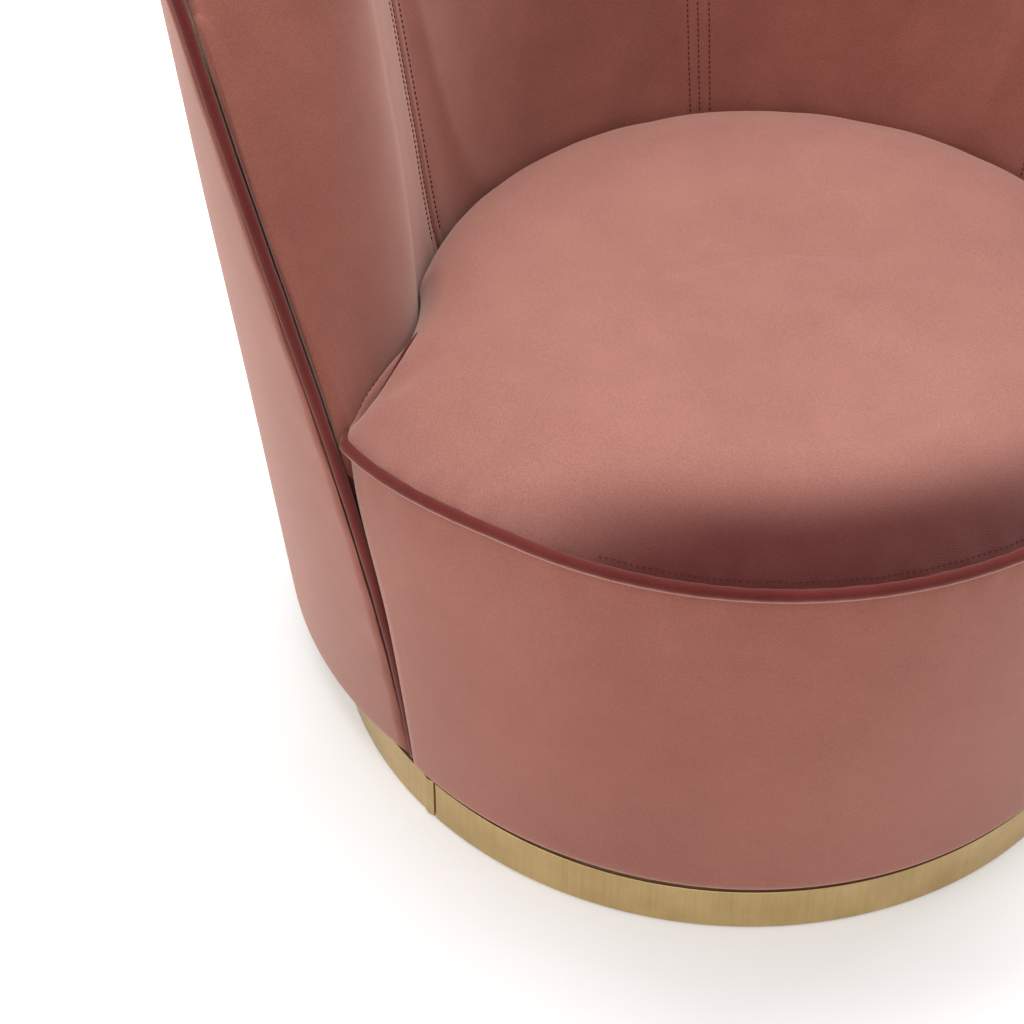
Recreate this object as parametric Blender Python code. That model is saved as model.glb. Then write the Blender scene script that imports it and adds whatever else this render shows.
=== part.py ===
"""Swivel glider chair: a round upholstered tub that turns on a plinth and glides on four links.

Metres, +Z up, front towards -Y, origin on the floor under the middle of the chair.
The body is drawn about the swivel axis, and one root empty then centres the whole chair.
"""
import math

import bmesh
import bpy
from mathutils import Vector

# ---- driving dimensions -------------------------------------------------------------------
GAP = 0.0003                    # play between pieces that touch

PLINTH_RADIUS = 0.354           # outside of the brass band
PLINTH_INNER = 0.300
PLINTH_DEPTH = 0.021            # height of the ring under the lid
BAND_THICKNESS = 0.0015
BAND_BOTTOM, BAND_TOP = 0.0015, 0.0465
BAND_JOINT_DEG = -56.5          # where the strip's ends meet, from the front, to the left
BAND_GAP_DEG = 0.25             # half the gap between its ends
BAND_HEM = 0.0018               # how far its folded end stands proud
BAND_PLAY = 0.0007              # between the strip and the plywood
BOARD = 0.018                   # plywood board thickness
GLIDE_HEIGHT, GLIDE_RADIUS = 0.0037, 0.014
GLIDE_CIRCLE = 0.324            # radius of the circle that the glides stand on

SHELL_CENTRE_Y = 0.07           # the shell's plan circle, behind the swivel axis
SHELL_FOOT_RADIUS = 0.388       # its radius at the floor ...
SHELL_FLARE = 0.096             # ... and how much wider it gets per metre of height
SHELL_BOTTOM = 0.0495
EDGE_ANGLE_FOOT = 127.0         # front edge of the shell, degrees from the back, at the floor
EDGE_LEAN, EDGE_POWER = 47.3, 2.1
RIM_BACK, RIM_ARM = 0.83, 0.78  # height of the rim behind and over the arms
CORNER_DROP, CORNER_START = 0.08, 0.80
COVER_THICKNESS, COVER_TUCK = 0.008, 0.007
SHELL_BOARD = 0.010
LAYER_GAP = 0.0018              # between the shell's curved layers

WALL_CENTRE_Y = -0.085          # inner wall round the seat
WALL_RADIUS = 0.290
WALL_RECLINE = 0.36
WALL_LEVEL = 0.42
NOSE_START = 0.70               # where the arm's rounded nose begins, as a share of the wall
NOSE_DEPTH = 0.030

FRONT_RADIUS = 0.3575           # drum front, at the floor
FRONT_FLARE = 0.010
FRONT_SPREAD = 0.018            # how far it swings out to meet the shell's edge
FRONT_EDGE_FOOT, FRONT_EDGE_LEAN = 59.9, 45.0
FRONT_PAD, FRONT_BOARD = 0.014, 0.010
FRONT_TOP = 0.392

SEAT_FRAME_BOTTOM = 0.300
SEAT_FRAME_HOLE = 0.255
SPRING_RADIUS = 0.0018
FOAM_BOTTOM = 0.3245
CUSHION_BOTTOM, CUSHION_CROWN = 0.4035, 0.447
SEAT_CLEARANCE = 0.003
WELT_RADIUS = 0.0047

LINK_LENGTH, LINK_TOP = 0.140, 0.235
PIVOT_Y = 0.12
PIN_RADIUS, HOLE_RADIUS = 0.004, 0.0047
BRACKET_X, BRACKET_THICKNESS = 0.156, 0.004
LINK_X, LINK_THICKNESS, LINK_WIDTH = 0.1655, 0.005, 0.026
RAIL_X, RAIL_THICKNESS = 0.1765, 0.005
RAIL_FRONT, RAIL_BACK = -0.255, 0.285
PLATE, PLATE_HOLE = 0.003, 0.040
PLATE_RADIUS, PLATE_HALF = 0.150, 0.140
CROSS_BAR_Y, CROSS_BAR_RADIUS, CROSS_BAR_DROP = 0.085, 0.008, 0.012
BRACKET_FOOT, BRACKET_HEAD, BRACKET_OVER = 0.140, 0.134, 0.014
BRACKET_CHAMFER = 0.020
HEAD_RADIUS, SPACER_RADIUS = 0.008, 0.007
UPPER_HEAD, UPPER_CLIP = 0.0055, 0.0038
LOWER_HEAD_GAP, LOWER_CLIP = 0.0010, 0.0045
RAIL_FOOT, RAIL_HEIGHT = 0.030, 0.040
BORE_REACH = 0.015              # half the length of a hole's cutter
BALL_RING_RADIUS, BALL_RADIUS = 0.100, 0.0040
BODY_HOLE = 0.290               # clear hole in the body's ring board, round the mechanism
RING_BOARD_RISE = 0.0065        # its underside, above the shell's lower edge
BOARD_ARC, BOARD_TRIM_DEG = 0.85, 6.0    # how far round the boards follow the shell and drum
DUST_SHRINK, DUST_MARGIN, DUST_THICKNESS = 0.985, 0.004, 0.0015
POST_PLACES = ((50, 0.307), (-50, 0.307), (112, 0.345), (-112, 0.345), (152, 0.385), (-152, 0.385))
POST_HALF = 0.012
SPRING_PLACES = (-0.135, -0.045, 0.045, 0.135)
SPRING_SWAY, SPRING_WAVES, SPRING_STEPS = 0.022, 7, 5
SPRING_BEARING = 0.015          # how far each end lies on the seat frame
SEAT_HOLE_Y = -0.03
BOARD_RISE = 0.0035             # lower edge of the bent boards, above the covers' lower edge
SHELL_LEVELS = (0.14, 0.23, 0.3245, 0.42, 0.52, 0.61)
PAD_ROUND = 0.075               # height over which the pad's top rounds over
STATIONS = 40                   # steps along the shell from one front edge to the other


# ---- scene and helpers --------------------------------------------------------------------
def clear_scene():
    for item in list(bpy.data.objects):
        bpy.data.objects.remove(item, do_unlink=True)


def material(name, colour, roughness, metallic=0.0):
    mat = bpy.data.materials.get(name) or bpy.data.materials.new(name)
    mat.use_nodes = True
    shader = mat.node_tree.nodes["Principled BSDF"]
    shader.inputs["Base Color"].default_value = (*colour, 1.0)
    shader.inputs["Roughness"].default_value = roughness
    shader.inputs["Metallic"].default_value = metallic
    return mat


LOOKS = {
    "velvet": ((0.40, 0.17, 0.14), 0.85, 0.0),
    "welt": ((0.20, 0.05, 0.04), 0.85, 0.0),
    "brass": ((0.62, 0.43, 0.20), 0.35, 1.0),
    "plywood": ((0.62, 0.46, 0.29), 0.60, 0.0),
    "steel": ((0.10, 0.10, 0.11), 0.45, 0.6),
    "zinc": ((0.62, 0.63, 0.65), 0.35, 1.0),
    "nylon": ((0.03, 0.03, 0.03), 0.55, 0.0),
    "foam": ((0.85, 0.80, 0.62), 0.90, 0.0),
    "lining": ((0.03, 0.03, 0.035), 0.95, 0.0),
}


def add_piece(name, bm, look, root, at=(0.0, 0.0, 0.0), smooth=True):
    """Turn a bmesh into a named object, outward facing, with its own material."""
    bmesh.ops.recalc_face_normals(bm, faces=bm.faces)
    mesh = bpy.data.meshes.new(name)
    bm.to_mesh(mesh)
    bm.free()
    if smooth:
        mesh.shade_smooth()
        mesh.set_sharp_from_angle(angle=math.radians(35))
    mesh.materials.append(material(look + "_" + name, *LOOKS[look]))
    piece = bpy.data.objects.new(name, mesh)
    bpy.context.collection.objects.link(piece)
    piece.location = at
    piece.parent = root
    return piece


def loft(loops, closed=False):
    """Skin a row of equal loops; the first and last are capped unless the row closes."""
    bm = bmesh.new()
    rings = [[bm.verts.new(p) for p in loop] for loop in loops]
    count = len(rings[0])
    pairs = list(zip(rings, rings[1:]))
    if closed:
        pairs.append((rings[-1], rings[0]))
    for ring, after in pairs:
        for i in range(count):
            j = (i + 1) % count
            bm.faces.new((ring[i], ring[j], after[j], after[i]))
    if not closed:
        bm.faces.new(rings[0])
        bm.faces.new(list(reversed(rings[-1])))
    return bm


def turned(profile, sides=32, axis="Z"):
    """Turn a closed (radius, height) profile that stays clear of its axis."""
    loops = []
    for k in range(sides):
        turn = math.tau * k / sides
        loops.append([_on_axis(r * math.cos(turn), r * math.sin(turn), h, axis) for r, h in profile])
    return loft(loops, closed=True)


def rod(steps, sides=12, axis="X"):
    """A solid turned piece from (radius, height) steps, capped at both ends."""
    loops = []
    for r, h in steps:
        turns = [math.tau * k / sides for k in range(sides)]
        loops.append([_on_axis(r * math.cos(t), r * math.sin(t), h, axis) for t in turns])
    return loft(loops)


def _on_axis(a, b, h, axis):
    return Vector((a, b, h)) if axis == "Z" else Vector((h, a, b))


def annulus(inner, outer, bottom, top, sides=48):
    return turned([(inner, bottom), (outer, bottom), (outer, top), (inner, top)], sides)


def prism(outline, bottom, top):
    """Extrude a flat XY outline from one height to another."""
    return loft([[Vector((x, y, z)) for x, y in outline] for z in (bottom, top)])


def side_plate(outline, near, far):
    """Extrude a YZ outline along X."""
    return loft([[Vector((x, y, z)) for y, z in outline] for x in (near, far)])


def tube(points, radius, sides=8):
    """Sweep a round section along a path, turning it as little as possible."""
    points = [Vector(p) for p in points]
    loops = []
    across = None
    for i, p in enumerate(points):
        ahead = points[min(i + 1, len(points) - 1)] - points[max(i - 1, 0)]
        ahead.normalize()
        if across is None:
            across = ahead.orthogonal().normalized()
        across = (across - ahead * across.dot(ahead)).normalized()
        up = ahead.cross(across)
        turns = [math.tau * k / sides for k in range(sides)]
        loops.append([p + (across * math.cos(t) + up * math.sin(t)) * radius for t in turns])
    return loft(loops)


def bore(piece, spots, radius, root):
    """Cut round holes along X through a plate, one at each spot."""
    for k, spot in enumerate(spots, start=1):
        tool = rod([(radius, -BORE_REACH), (radius, BORE_REACH)])
        cutter = add_piece(f"{piece.name}_hole_{k}", tool, "zinc", root, spot)
        cutter.hide_render = True
        cutter.display_type = "WIRE"
        cut = piece.modifiers.new(f"hole_{k}", "BOOLEAN")
        cut.object = cutter
        cut.operation = "DIFFERENCE"
        cut.solver = "EXACT"


def ease(value):
    value = min(1.0, max(0.0, value))
    return value * value * (3.0 - 2.0 * value)


def blend(a, b, share):
    return a + (b - a) * share


# ---- the tub's shape ----------------------------------------------------------------------
def shell_radius(z):
    return SHELL_FOOT_RADIUS + SHELL_FLARE * z


def shell_edge_angle(z):
    """Angle from the back to the shell's front edge, which leans back with height."""
    return math.radians(EDGE_ANGLE_FOOT - EDGE_LEAN * max(z, 0.0) ** EDGE_POWER)


def rim_height(s):
    """Height of the rim at s, from -1 at the left front edge to 1 at the right one."""
    share = abs(s)
    height = RIM_BACK - (RIM_BACK - RIM_ARM) * share ** 2
    if share > CORNER_START:
        turn = (share - CORNER_START) / (1.0 - CORNER_START)
        height -= CORNER_DROP * (1.0 - math.sqrt(max(0.0, 1.0 - turn * turn)))
    return height


def shell_point(s, z, depth):
    """A point on the shell, depth metres in from its outer face."""
    angle = s * shell_edge_angle(z)
    radius = shell_radius(z) - depth
    return Vector((radius * math.sin(angle), SHELL_CENTRE_Y + radius * math.cos(angle), z))


def wall_point(s, z):
    """The padded inner wall: a circle round the seat, then the arm's rounded nose."""
    side = 1.0 if s >= 0 else -1.0
    share = abs(s)
    start = math.radians(blend(73.0, 68.0, ease((z - 0.40) / 0.32)))
    angle = start * min(share, NOSE_START) / NOSE_START
    radius = WALL_RADIUS + WALL_RECLINE * max(0.0, math.cos(angle)) * (z - WALL_LEVEL)
    x, y = radius * math.sin(angle), WALL_CENTRE_Y + radius * math.cos(angle)
    if share > NOSE_START:
        end = shell_point(1.0, z, NOSE_DEPTH)
        bend_y = blend(end.y, y, blend(0.42, 0.25, ease((z - 0.40) / 0.32)))
        t = (share - NOSE_START) / (1.0 - NOSE_START)
        a, b, c = (1 - t) ** 2, 2 * t * (1 - t), t * t
        x, y = a * x + b * (x + 0.003) + c * end.x, a * y + b * bend_y + c * end.y
    return Vector((side * x, y, z))


def front_radius(angle, z):
    """Outer face of the drum front; angle in degrees from the front."""
    height = z / 0.40
    spread = FRONT_SPREAD * ease((abs(angle) - 40.0) / 29.0) * height
    return FRONT_RADIUS + FRONT_FLARE * z + spread


def front_edge(z):
    """Angle in degrees at which the drum front ends, just inside the shell's welt."""
    return FRONT_EDGE_FOOT + FRONT_EDGE_LEAN * z ** EDGE_POWER


def front_point(angle, z, depth):
    turn = math.radians(angle)
    radius = front_radius(angle, z) - depth
    return Vector((radius * math.sin(turn), -radius * math.cos(turn), z))


def body_outline(z, front_depth, shell_depth):
    """Plan of a board inside the drum front and the shell, cut off straight between them."""
    outline = []
    for k in range(37):
        p = shell_point(BOARD_ARC * (-1.0 + 2.0 * k / 36), z, shell_depth)
        outline.append((p.x, p.y))
    edge = front_edge(z) - BOARD_TRIM_DEG
    for k in range(19):
        p = front_point(edge * (1.0 - 2.0 * k / 18), z, front_depth)
        outline.append((p.x, p.y))
    return outline


def seat_outline(z, front_depth, wall_share, shrink=1.0):
    """Plan of the seat: the inner wall behind, up to wall_share of it, the drum front ahead."""
    middle = Vector((0.0, WALL_CENTRE_Y, z))
    loop = []
    for k in range(STATIONS + 1):
        p = wall_point(wall_share * (-1.0 + 2.0 * k / STATIONS), z)
        loop.append(p + (middle - p).normalized() * SEAT_CLEARANCE)
    edge = front_edge(z) - 2.5
    for k in range(21):
        loop.append(front_point(edge * (1.0 - 2.0 * k / 20), z, front_depth))
    return [middle + (p - middle) * shrink for p in loop]


def shell_rows(bottom, s):
    """Heights shared by every layer of the shell, so that their facets stay parallel."""
    level = [z for z in SHELL_LEVELS if z > bottom + 0.01]
    top = rim_height(s)
    return [bottom] + level + [blend(SHELL_LEVELS[-1], top, k / 4) for k in range(1, 5)]


def pad_rows(bottom, s):
    """Heights up the pad's inner face, closer together where its top rounds over."""
    top = rim_height(s)
    start = top - PAD_ROUND
    straight = [blend(bottom, start, k / 6) for k in range(7)]
    return straight + [start + PAD_ROUND * math.sin(math.radians(18 * k)) for k in range(1, 6)]


# ---- pieces of the plinth -----------------------------------------------------------------
def make_plinth(root):
    """Glides, ring, lid, brass strip and the bearing's lower plate; returns that plate's top."""
    for k, angle in enumerate((45, 135, 225, 315), start=1):
        turn = math.radians(angle)
        spot = (GLIDE_CIRCLE * math.cos(turn), GLIDE_CIRCLE * math.sin(turn), 0.0)
        steps = [(GLIDE_RADIUS - 0.002, 0.0), (GLIDE_RADIUS, 0.001), (GLIDE_RADIUS, GLIDE_HEIGHT)]
        add_piece(f"glide_{k}", rod(steps, 16, "Z"), "nylon", root, spot)
    ring_bottom = GLIDE_HEIGHT + GAP
    ring_outer = PLINTH_RADIUS - BAND_THICKNESS - BAND_PLAY
    ring_top = ring_bottom + PLINTH_DEPTH
    add_piece("plinth_ring", annulus(PLINTH_INNER, ring_outer, ring_bottom, ring_top, 64),
              "plywood", root)
    lid_bottom = ring_top + GAP
    add_piece("plinth_lid", annulus(PLATE_HOLE, ring_outer, lid_bottom, lid_bottom + BOARD, 64),
              "plywood", root)
    make_band(root)
    plate_bottom = lid_bottom + BOARD + GAP
    lower_plate = annulus(PLATE_HOLE, PLATE_RADIUS, plate_bottom, plate_bottom + PLATE, 32)
    add_piece("bearing_lower_plate", lower_plate, "zinc", root)
    return plate_bottom + PLATE


def make_band(root):
    """One brass strip round the plinth; its last end is folded back on itself."""
    loops = []
    steps = 72
    for k in range(steps + 1):
        sweep = (360.0 - 2.0 * BAND_GAP_DEG) * k / steps
        turn = math.radians(BAND_JOINT_DEG + BAND_GAP_DEG + sweep)
        inner = PLINTH_RADIUS - BAND_THICKNESS
        outer = PLINTH_RADIUS + (BAND_HEM if k >= steps - 1 else 0.0)
        loops.append([Vector((r * math.sin(turn), -r * math.cos(turn), z))
                      for r, z in ((inner, BAND_BOTTOM), (outer, BAND_BOTTOM),
                                   (outer, BAND_TOP), (inner, BAND_TOP))])
    add_piece("brass_band", loft(loops), "brass", root)


# ---- the turntable and the glide linkage --------------------------------------------------
def make_turntable(plate_top, root):
    """The balls' race, the upper plate, and the brackets that carry the links."""
    ring_z = plate_top + GAP + BALL_RADIUS
    section = [(BALL_RING_RADIUS + BALL_RADIUS * math.cos(math.radians(45 * k)),
                ring_z + BALL_RADIUS * math.sin(math.radians(45 * k))) for k in range(8)]
    add_piece("ball_ring", turned(section, 28), "zinc", root)
    bottom = ring_z + BALL_RADIUS + GAP
    outline, hole = [], []
    for k in range(32):
        turn = math.tau * (k + 0.5) / 32
        dx, dy = math.cos(turn), math.sin(turn)
        reach = min(BRACKET_X / abs(dx), PLATE_HALF / abs(dy))
        outline.append((dx * reach, dy * reach))
        hole.append((dx * PLATE_HOLE, dy * PLATE_HOLE))
    holed_board("bearing_upper_plate", outline, hole, bottom, bottom + PLATE, "zinc", root)
    floor = bottom + PLATE + GAP
    for side, label in ((-1, "left"), (1, "right")):
        make_bracket(label, side, floor, root)
        for y, place in ((-PIVOT_Y, "front"), (PIVOT_Y, "rear")):
            make_link(f"{place}_{label}", side, y, root)
    reach = BRACKET_X - GAP
    for y, place in ((-CROSS_BAR_Y, "front"), (CROSS_BAR_Y, "rear")):
        bar = rod([(CROSS_BAR_RADIUS, -reach), (CROSS_BAR_RADIUS, reach)])
        add_piece(f"cross_bar_{place}", bar, "steel", root, (0.0, y, LINK_TOP - CROSS_BAR_DROP))


def make_bracket(label, side, floor, root):
    """An upright plate that two links hang from, one at each end."""
    top, shoulder = LINK_TOP + BRACKET_OVER, LINK_TOP + BRACKET_OVER - BRACKET_CHAMFER
    outline = [(-BRACKET_FOOT, floor), (BRACKET_FOOT, floor), (BRACKET_FOOT, shoulder),
               (BRACKET_HEAD, top), (-BRACKET_HEAD, top), (-BRACKET_FOOT, shoulder)]
    bm = side_plate(outline, 0.0, BRACKET_THICKNESS * side)
    at = (BRACKET_X * side, 0.0, 0.0)
    bracket = add_piece(f"bracket_{label}", bm, "steel", root, at, smooth=False)
    spots = [(BRACKET_X * side, y, LINK_TOP) for y in (-PIVOT_Y, PIVOT_Y)]
    bore(bracket, spots, PIN_RADIUS + GAP, root)


def make_link(place, side, y, root):
    """One hanging link with its upper and lower pins; its origin is on the upper pivot."""
    half = LINK_WIDTH / 2
    outline = []
    for start, drop in ((0.0, 0.0), (180.0, LINK_LENGTH)):
        for k in range(9):
            turn = math.radians(start + 180.0 * k / 8)
            outline.append((half * math.cos(turn), half * math.sin(turn) - drop))
    bm = side_plate(outline, 0.0, LINK_THICKNESS * side)
    at = (LINK_X * side, y, LINK_TOP)
    link = add_piece(f"link_{place}", bm, "steel", root, at, smooth=False)
    spots = [(LINK_X * side, y, z) for z in (LINK_TOP, LINK_TOP - LINK_LENGTH)]
    bore(link, spots, HOLE_RADIUS, root)
    inside, outside = BRACKET_X, BRACKET_X + BRACKET_THICKNESS
    link_far = LINK_X + LINK_THICKNESS
    upper = [(HEAD_RADIUS, inside - UPPER_HEAD), (HEAD_RADIUS, inside - GAP),
             (PIN_RADIUS, inside - GAP), (PIN_RADIUS, outside + GAP),
             (SPACER_RADIUS, outside + GAP), (SPACER_RADIUS, LINK_X - GAP),
             (PIN_RADIUS, LINK_X - GAP), (PIN_RADIUS, link_far + GAP),
             (HEAD_RADIUS, link_far + GAP), (HEAD_RADIUS, link_far + UPPER_CLIP)]
    add_piece(f"upper_pin_{place}", rod([(r, side * x) for r, x in upper]), "zinc", root,
              (0.0, y, LINK_TOP))
    rail_far = RAIL_X + RAIL_THICKNESS
    lower = [(HEAD_RADIUS, outside + LOWER_HEAD_GAP), (HEAD_RADIUS, LINK_X - GAP),
             (PIN_RADIUS, LINK_X - GAP), (PIN_RADIUS, link_far + GAP),
             (SPACER_RADIUS, link_far + GAP), (SPACER_RADIUS, RAIL_X - GAP),
             (PIN_RADIUS, RAIL_X - GAP), (PIN_RADIUS, rail_far + GAP),
             (HEAD_RADIUS, rail_far + GAP), (HEAD_RADIUS, rail_far + LOWER_CLIP)]
    add_piece(f"lower_pin_{place}", rod([(r, side * x) for r, x in lower]), "zinc", root,
              (0.0, y, LINK_TOP - LINK_LENGTH))


# ---- the body's frame ---------------------------------------------------------------------
def make_rail(label, side, floor, root):
    """An angle section along the body, on the ring board, that hangs from two links."""
    far, foot, top = RAIL_X + RAIL_THICKNESS, RAIL_X + RAIL_FOOT, floor + RAIL_HEIGHT
    section = [(RAIL_X, floor), (foot, floor), (foot, floor + RAIL_THICKNESS),
               (far, floor + RAIL_THICKNESS), (far, top), (RAIL_X, top)]
    loops = [[Vector((side * x, y, z)) for x, z in section] for y in (RAIL_FRONT, RAIL_BACK)]
    rail = add_piece(f"carriage_rail_{label}", loft(loops), "steel", root, smooth=False)
    low = LINK_TOP - LINK_LENGTH
    spots = [((RAIL_X + RAIL_THICKNESS / 2) * side, y, low) for y in (-PIVOT_Y, PIVOT_Y)]
    bore(rail, spots, PIN_RADIUS + GAP, root)


def holed_board(name, outline, hole, bottom, top, look, root):
    """A flat board with a round hole; outline and hole have the same number of points."""
    loops = [[Vector((x, y, z)) for x, y in ring]
             for ring, z in ((hole, bottom), (outline, bottom), (outline, top), (hole, top))]
    rows = [[loop[k] for loop in loops] for k in range(len(outline))]
    add_piece(name, loft(rows, closed=True), look, root, smooth=False)


def round_hole(radius, middle_y, outline):
    """Points on a circle that face the outline's points, seen from the circle's middle."""
    hole = []
    for x, y in outline:
        away = math.atan2(x, -(y - middle_y))
        hole.append((radius * math.sin(away), middle_y - radius * math.cos(away)))
    return hole


def make_frame(root):
    """The ring board under the body, the seat frame over it, and the posts between them."""
    ring_bottom = SHELL_BOTTOM + RING_BOARD_RISE
    ring_top = ring_bottom + BOARD
    lining = SHELL_BOARD + COVER_THICKNESS + 2 * LAYER_GAP
    inside = FRONT_PAD + FRONT_BOARD + 2 * LAYER_GAP
    outline = body_outline(ring_bottom, inside, lining)
    holed_board("base_ring_board", outline, round_hole(BODY_HOLE, 0.0, outline),
                ring_bottom, ring_top, "plywood", root)
    cloth = [(x * DUST_SHRINK, y * DUST_SHRINK) for x, y in outline]
    cloth_top = ring_bottom - GAP
    holed_board("dust_cover", cloth, round_hole(BODY_HOLE + DUST_MARGIN, 0.0, cloth),
                cloth_top - DUST_THICKNESS, cloth_top, "lining", root)
    for side, label in ((-1, "left"), (1, "right")):
        make_rail(label, side, ring_top + GAP, root)
    outline = body_outline(SEAT_FRAME_BOTTOM, inside, lining)
    holed_board("seat_frame", outline, round_hole(SEAT_FRAME_HOLE, SEAT_HOLE_Y, outline),
                SEAT_FRAME_BOTTOM, SEAT_FRAME_BOTTOM + BOARD, "plywood", root)
    square = [(x * POST_HALF, y * POST_HALF) for x, y in ((-1, -1), (1, -1), (1, 1), (-1, 1))]
    for k, (angle, radius) in enumerate(POST_PLACES, start=1):
        turn = math.radians(angle)
        bm = prism(square, ring_top + GAP, SEAT_FRAME_BOTTOM - GAP)
        at = (radius * math.sin(turn), -radius * math.cos(turn), 0.0)
        add_piece(f"post_{k}", bm, "plywood", root, at, smooth=False)
    make_springs(root)


def make_springs(root):
    """Zigzag seat springs from the front of the frame's hole to the back."""
    top = SEAT_FRAME_BOTTOM + BOARD + SPRING_RADIUS + 2 * GAP
    steps = SPRING_WAVES * SPRING_STEPS
    for k, x in enumerate(SPRING_PLACES, start=1):
        reach = math.sqrt(SEAT_FRAME_HOLE ** 2 - x * x) + SPRING_BEARING
        points = []
        for i in range(steps + 1):
            share = i / steps
            fade = min(1.0, 12.0 * share * (1.0 - share))
            sway = SPRING_SWAY * fade * math.sin(math.tau * SPRING_WAVES * share)
            points.append((x + sway, SEAT_HOLE_Y + reach * (2.0 * share - 1.0), top))
        add_piece(f"seat_spring_{k}", tube(points, SPRING_RADIUS, 4), "steel", root)


# ---- shell, pads and covers ---------------------------------------------------------------
def stations():
    """Steps along the shell, closer together near its two front edges."""
    steps = [-1.0 + 2.0 * k / STATIONS for k in range(STATIONS + 1)]
    return [0.5 * u + 0.5 * math.sin(u * math.pi / 2) for u in steps]


def make_shell(root):
    """The bent plywood shell, and the padded cover over it with its lower edge tucked in."""
    board_near = COVER_THICKNESS + LAYER_GAP
    for name, near, far, bottom, tuck, look in (
            ("outer_cover", 0.0, COVER_THICKNESS, SHELL_BOTTOM, COVER_TUCK, "velvet"),
            ("shell_board", board_near, board_near + SHELL_BOARD, SHELL_BOTTOM + BOARD_RISE, 0.0,
             "plywood")):
        loops = []
        for s in stations():
            rows = shell_rows(bottom, s)
            out = [shell_point(s, bottom, near + tuck)]
            out += [shell_point(s, z, near) for z in rows[1:]]
            back = [shell_point(s, z, far) for z in rows]
            loops.append(out + list(reversed(back)))
        add_piece(name, loft(loops), look, root)


def make_back_pad(root):
    """The thick inner pad of the back and arms, rounded over at the rim and the nose."""
    depth = COVER_THICKNESS + SHELL_BOARD + 2 * LAYER_GAP
    loops = []
    for s in stations():
        outer = [shell_point(s, z, depth) for z in shell_rows(FOAM_BOTTOM, s)]
        top = rim_height(s)
        inner = []
        for z in pad_rows(FOAM_BOTTOM, s)[:-1]:
            board = shell_point(s, z, depth)
            rise = max(0.0, 1.0 - (top - z) / PAD_ROUND)
            full = (1.0 - rise ** 2.2) ** (1 / 2.2)
            inner.append(board + (wall_point(s, z) - board) * full)
        loops.append(outer + list(reversed(inner)))
    add_piece("back_pad", loft(loops), "velvet", root)


def make_front(root):
    """The plywood drum front and the padded border over it."""
    for name, near, far, bottom, top, trim, look in (
            ("front_border", 0.0, FRONT_PAD, SHELL_BOTTOM, FRONT_TOP, 0.2, "velvet"),
            ("front_board", FRONT_PAD + LAYER_GAP, FRONT_PAD + LAYER_GAP + FRONT_BOARD,
             SHELL_BOTTOM + 0.0035, FRONT_TOP - 0.004, 3.0, "plywood")):
        loops = []
        steps = 24
        for k in range(steps + 1):
            loop_out, loop_in = [], []
            for row in range(6):
                z = blend(bottom, top, row / 5)
                edge = front_edge(z) - trim
                angle = edge * (-1.0 + 2.0 * k / steps)
                soft = 0.004 if (look == "velvet" and row in (0, 5)) else 0.0
                loop_out.append(front_point(angle, z, near + soft))
                loop_in.append(front_point(angle, z, far))
            loops.append(loop_out + list(reversed(loop_in)))
        add_piece(name, loft(loops), look, root)


def make_seat(root):
    """Foam core on the springs, and the crowned seat cushion with its welt."""
    inside = FRONT_PAD + FRONT_BOARD + 2 * LAYER_GAP
    top = CUSHION_BOTTOM - GAP
    core = [seat_outline(blend(FOAM_BOTTOM, top, k / 3), inside, 0.92) for k in range(4)]
    add_piece("seat_foam", loft(core), "foam", root)
    levels = ((CUSHION_BOTTOM, 0.982), (0.410, 0.996), (0.422, 0.996), (0.434, 0.972),
              (0.441, 0.925), (0.445, 0.82), (CUSHION_CROWN, 0.55))
    loops = []
    for z, shrink in levels:
        plan = seat_outline(CUSHION_BOTTOM + 0.006, 0.0015, 0.985, shrink)
        loops.append([Vector((p.x, p.y, z)) for p in plan])
    add_piece("seat_cushion", loft(loops), "velvet", root)
    reach = front_edge(0.398) - 0.2
    welt = [front_point(reach * (-1.0 + 2.0 * k / 40), 0.3975, -0.0025) for k in range(41)]
    add_piece("seat_welt", tube(welt, WELT_RADIUS), "welt", root)


def shell_edge_path(bottom):
    """The shell's edge from the left foot, over the rim, to the right foot."""
    side = []
    corner = rim_height(1.0)
    for k in range(15):
        side.append((-1.0, blend(bottom, corner, k / 14)))
    over = [(s, rim_height(s)) for s in stations()[1:-1]]
    return side + over + [(-s, z) for s, z in reversed(side)]


def make_shell_welt(root):
    depth = COVER_THICKNESS + 0.002
    middle = [shell_point(s, z, depth) for s, z in shell_edge_path(SHELL_BOTTOM + 0.001)]
    path = []
    for i, p in enumerate(middle):
        along = (middle[min(i + 1, len(middle) - 1)] - middle[max(i - 1, 0)]).normalized()
        face = Vector((p.x, p.y - SHELL_CENTRE_Y, 0.0)).normalized()
        path.append(p + along.cross(face).normalized() * (WELT_RADIUS + 0.0012))
    add_piece("shell_welt", tube(path, WELT_RADIUS), "welt", root)


def main():
    clear_scene()
    root = bpy.data.objects.new("chair_root", None)
    bpy.context.collection.objects.link(root)
    rear = SHELL_CENTRE_Y + shell_radius(RIM_BACK)
    front = front_radius(0.0, 0.3975) + 0.0025 + WELT_RADIUS
    root.location = (0.0, -(rear - front) / 2.0, 0.0)
    make_turntable(make_plinth(root), root)
    make_frame(root)
    make_shell(root)
    make_back_pad(root)
    make_front(root)
    make_seat(root)
    make_shell_welt(root)
    bpy.context.view_layer.update()


main()
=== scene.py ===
"""Looks of the swivel glider chair: velvet over padding, welts, stitching, brushed brass."""

import math

import bmesh
import bpy
import numpy as np
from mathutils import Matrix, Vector, noise
from mathutils.bvhtree import BVHTree
from mathutils.kdtree import KDTree


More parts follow.
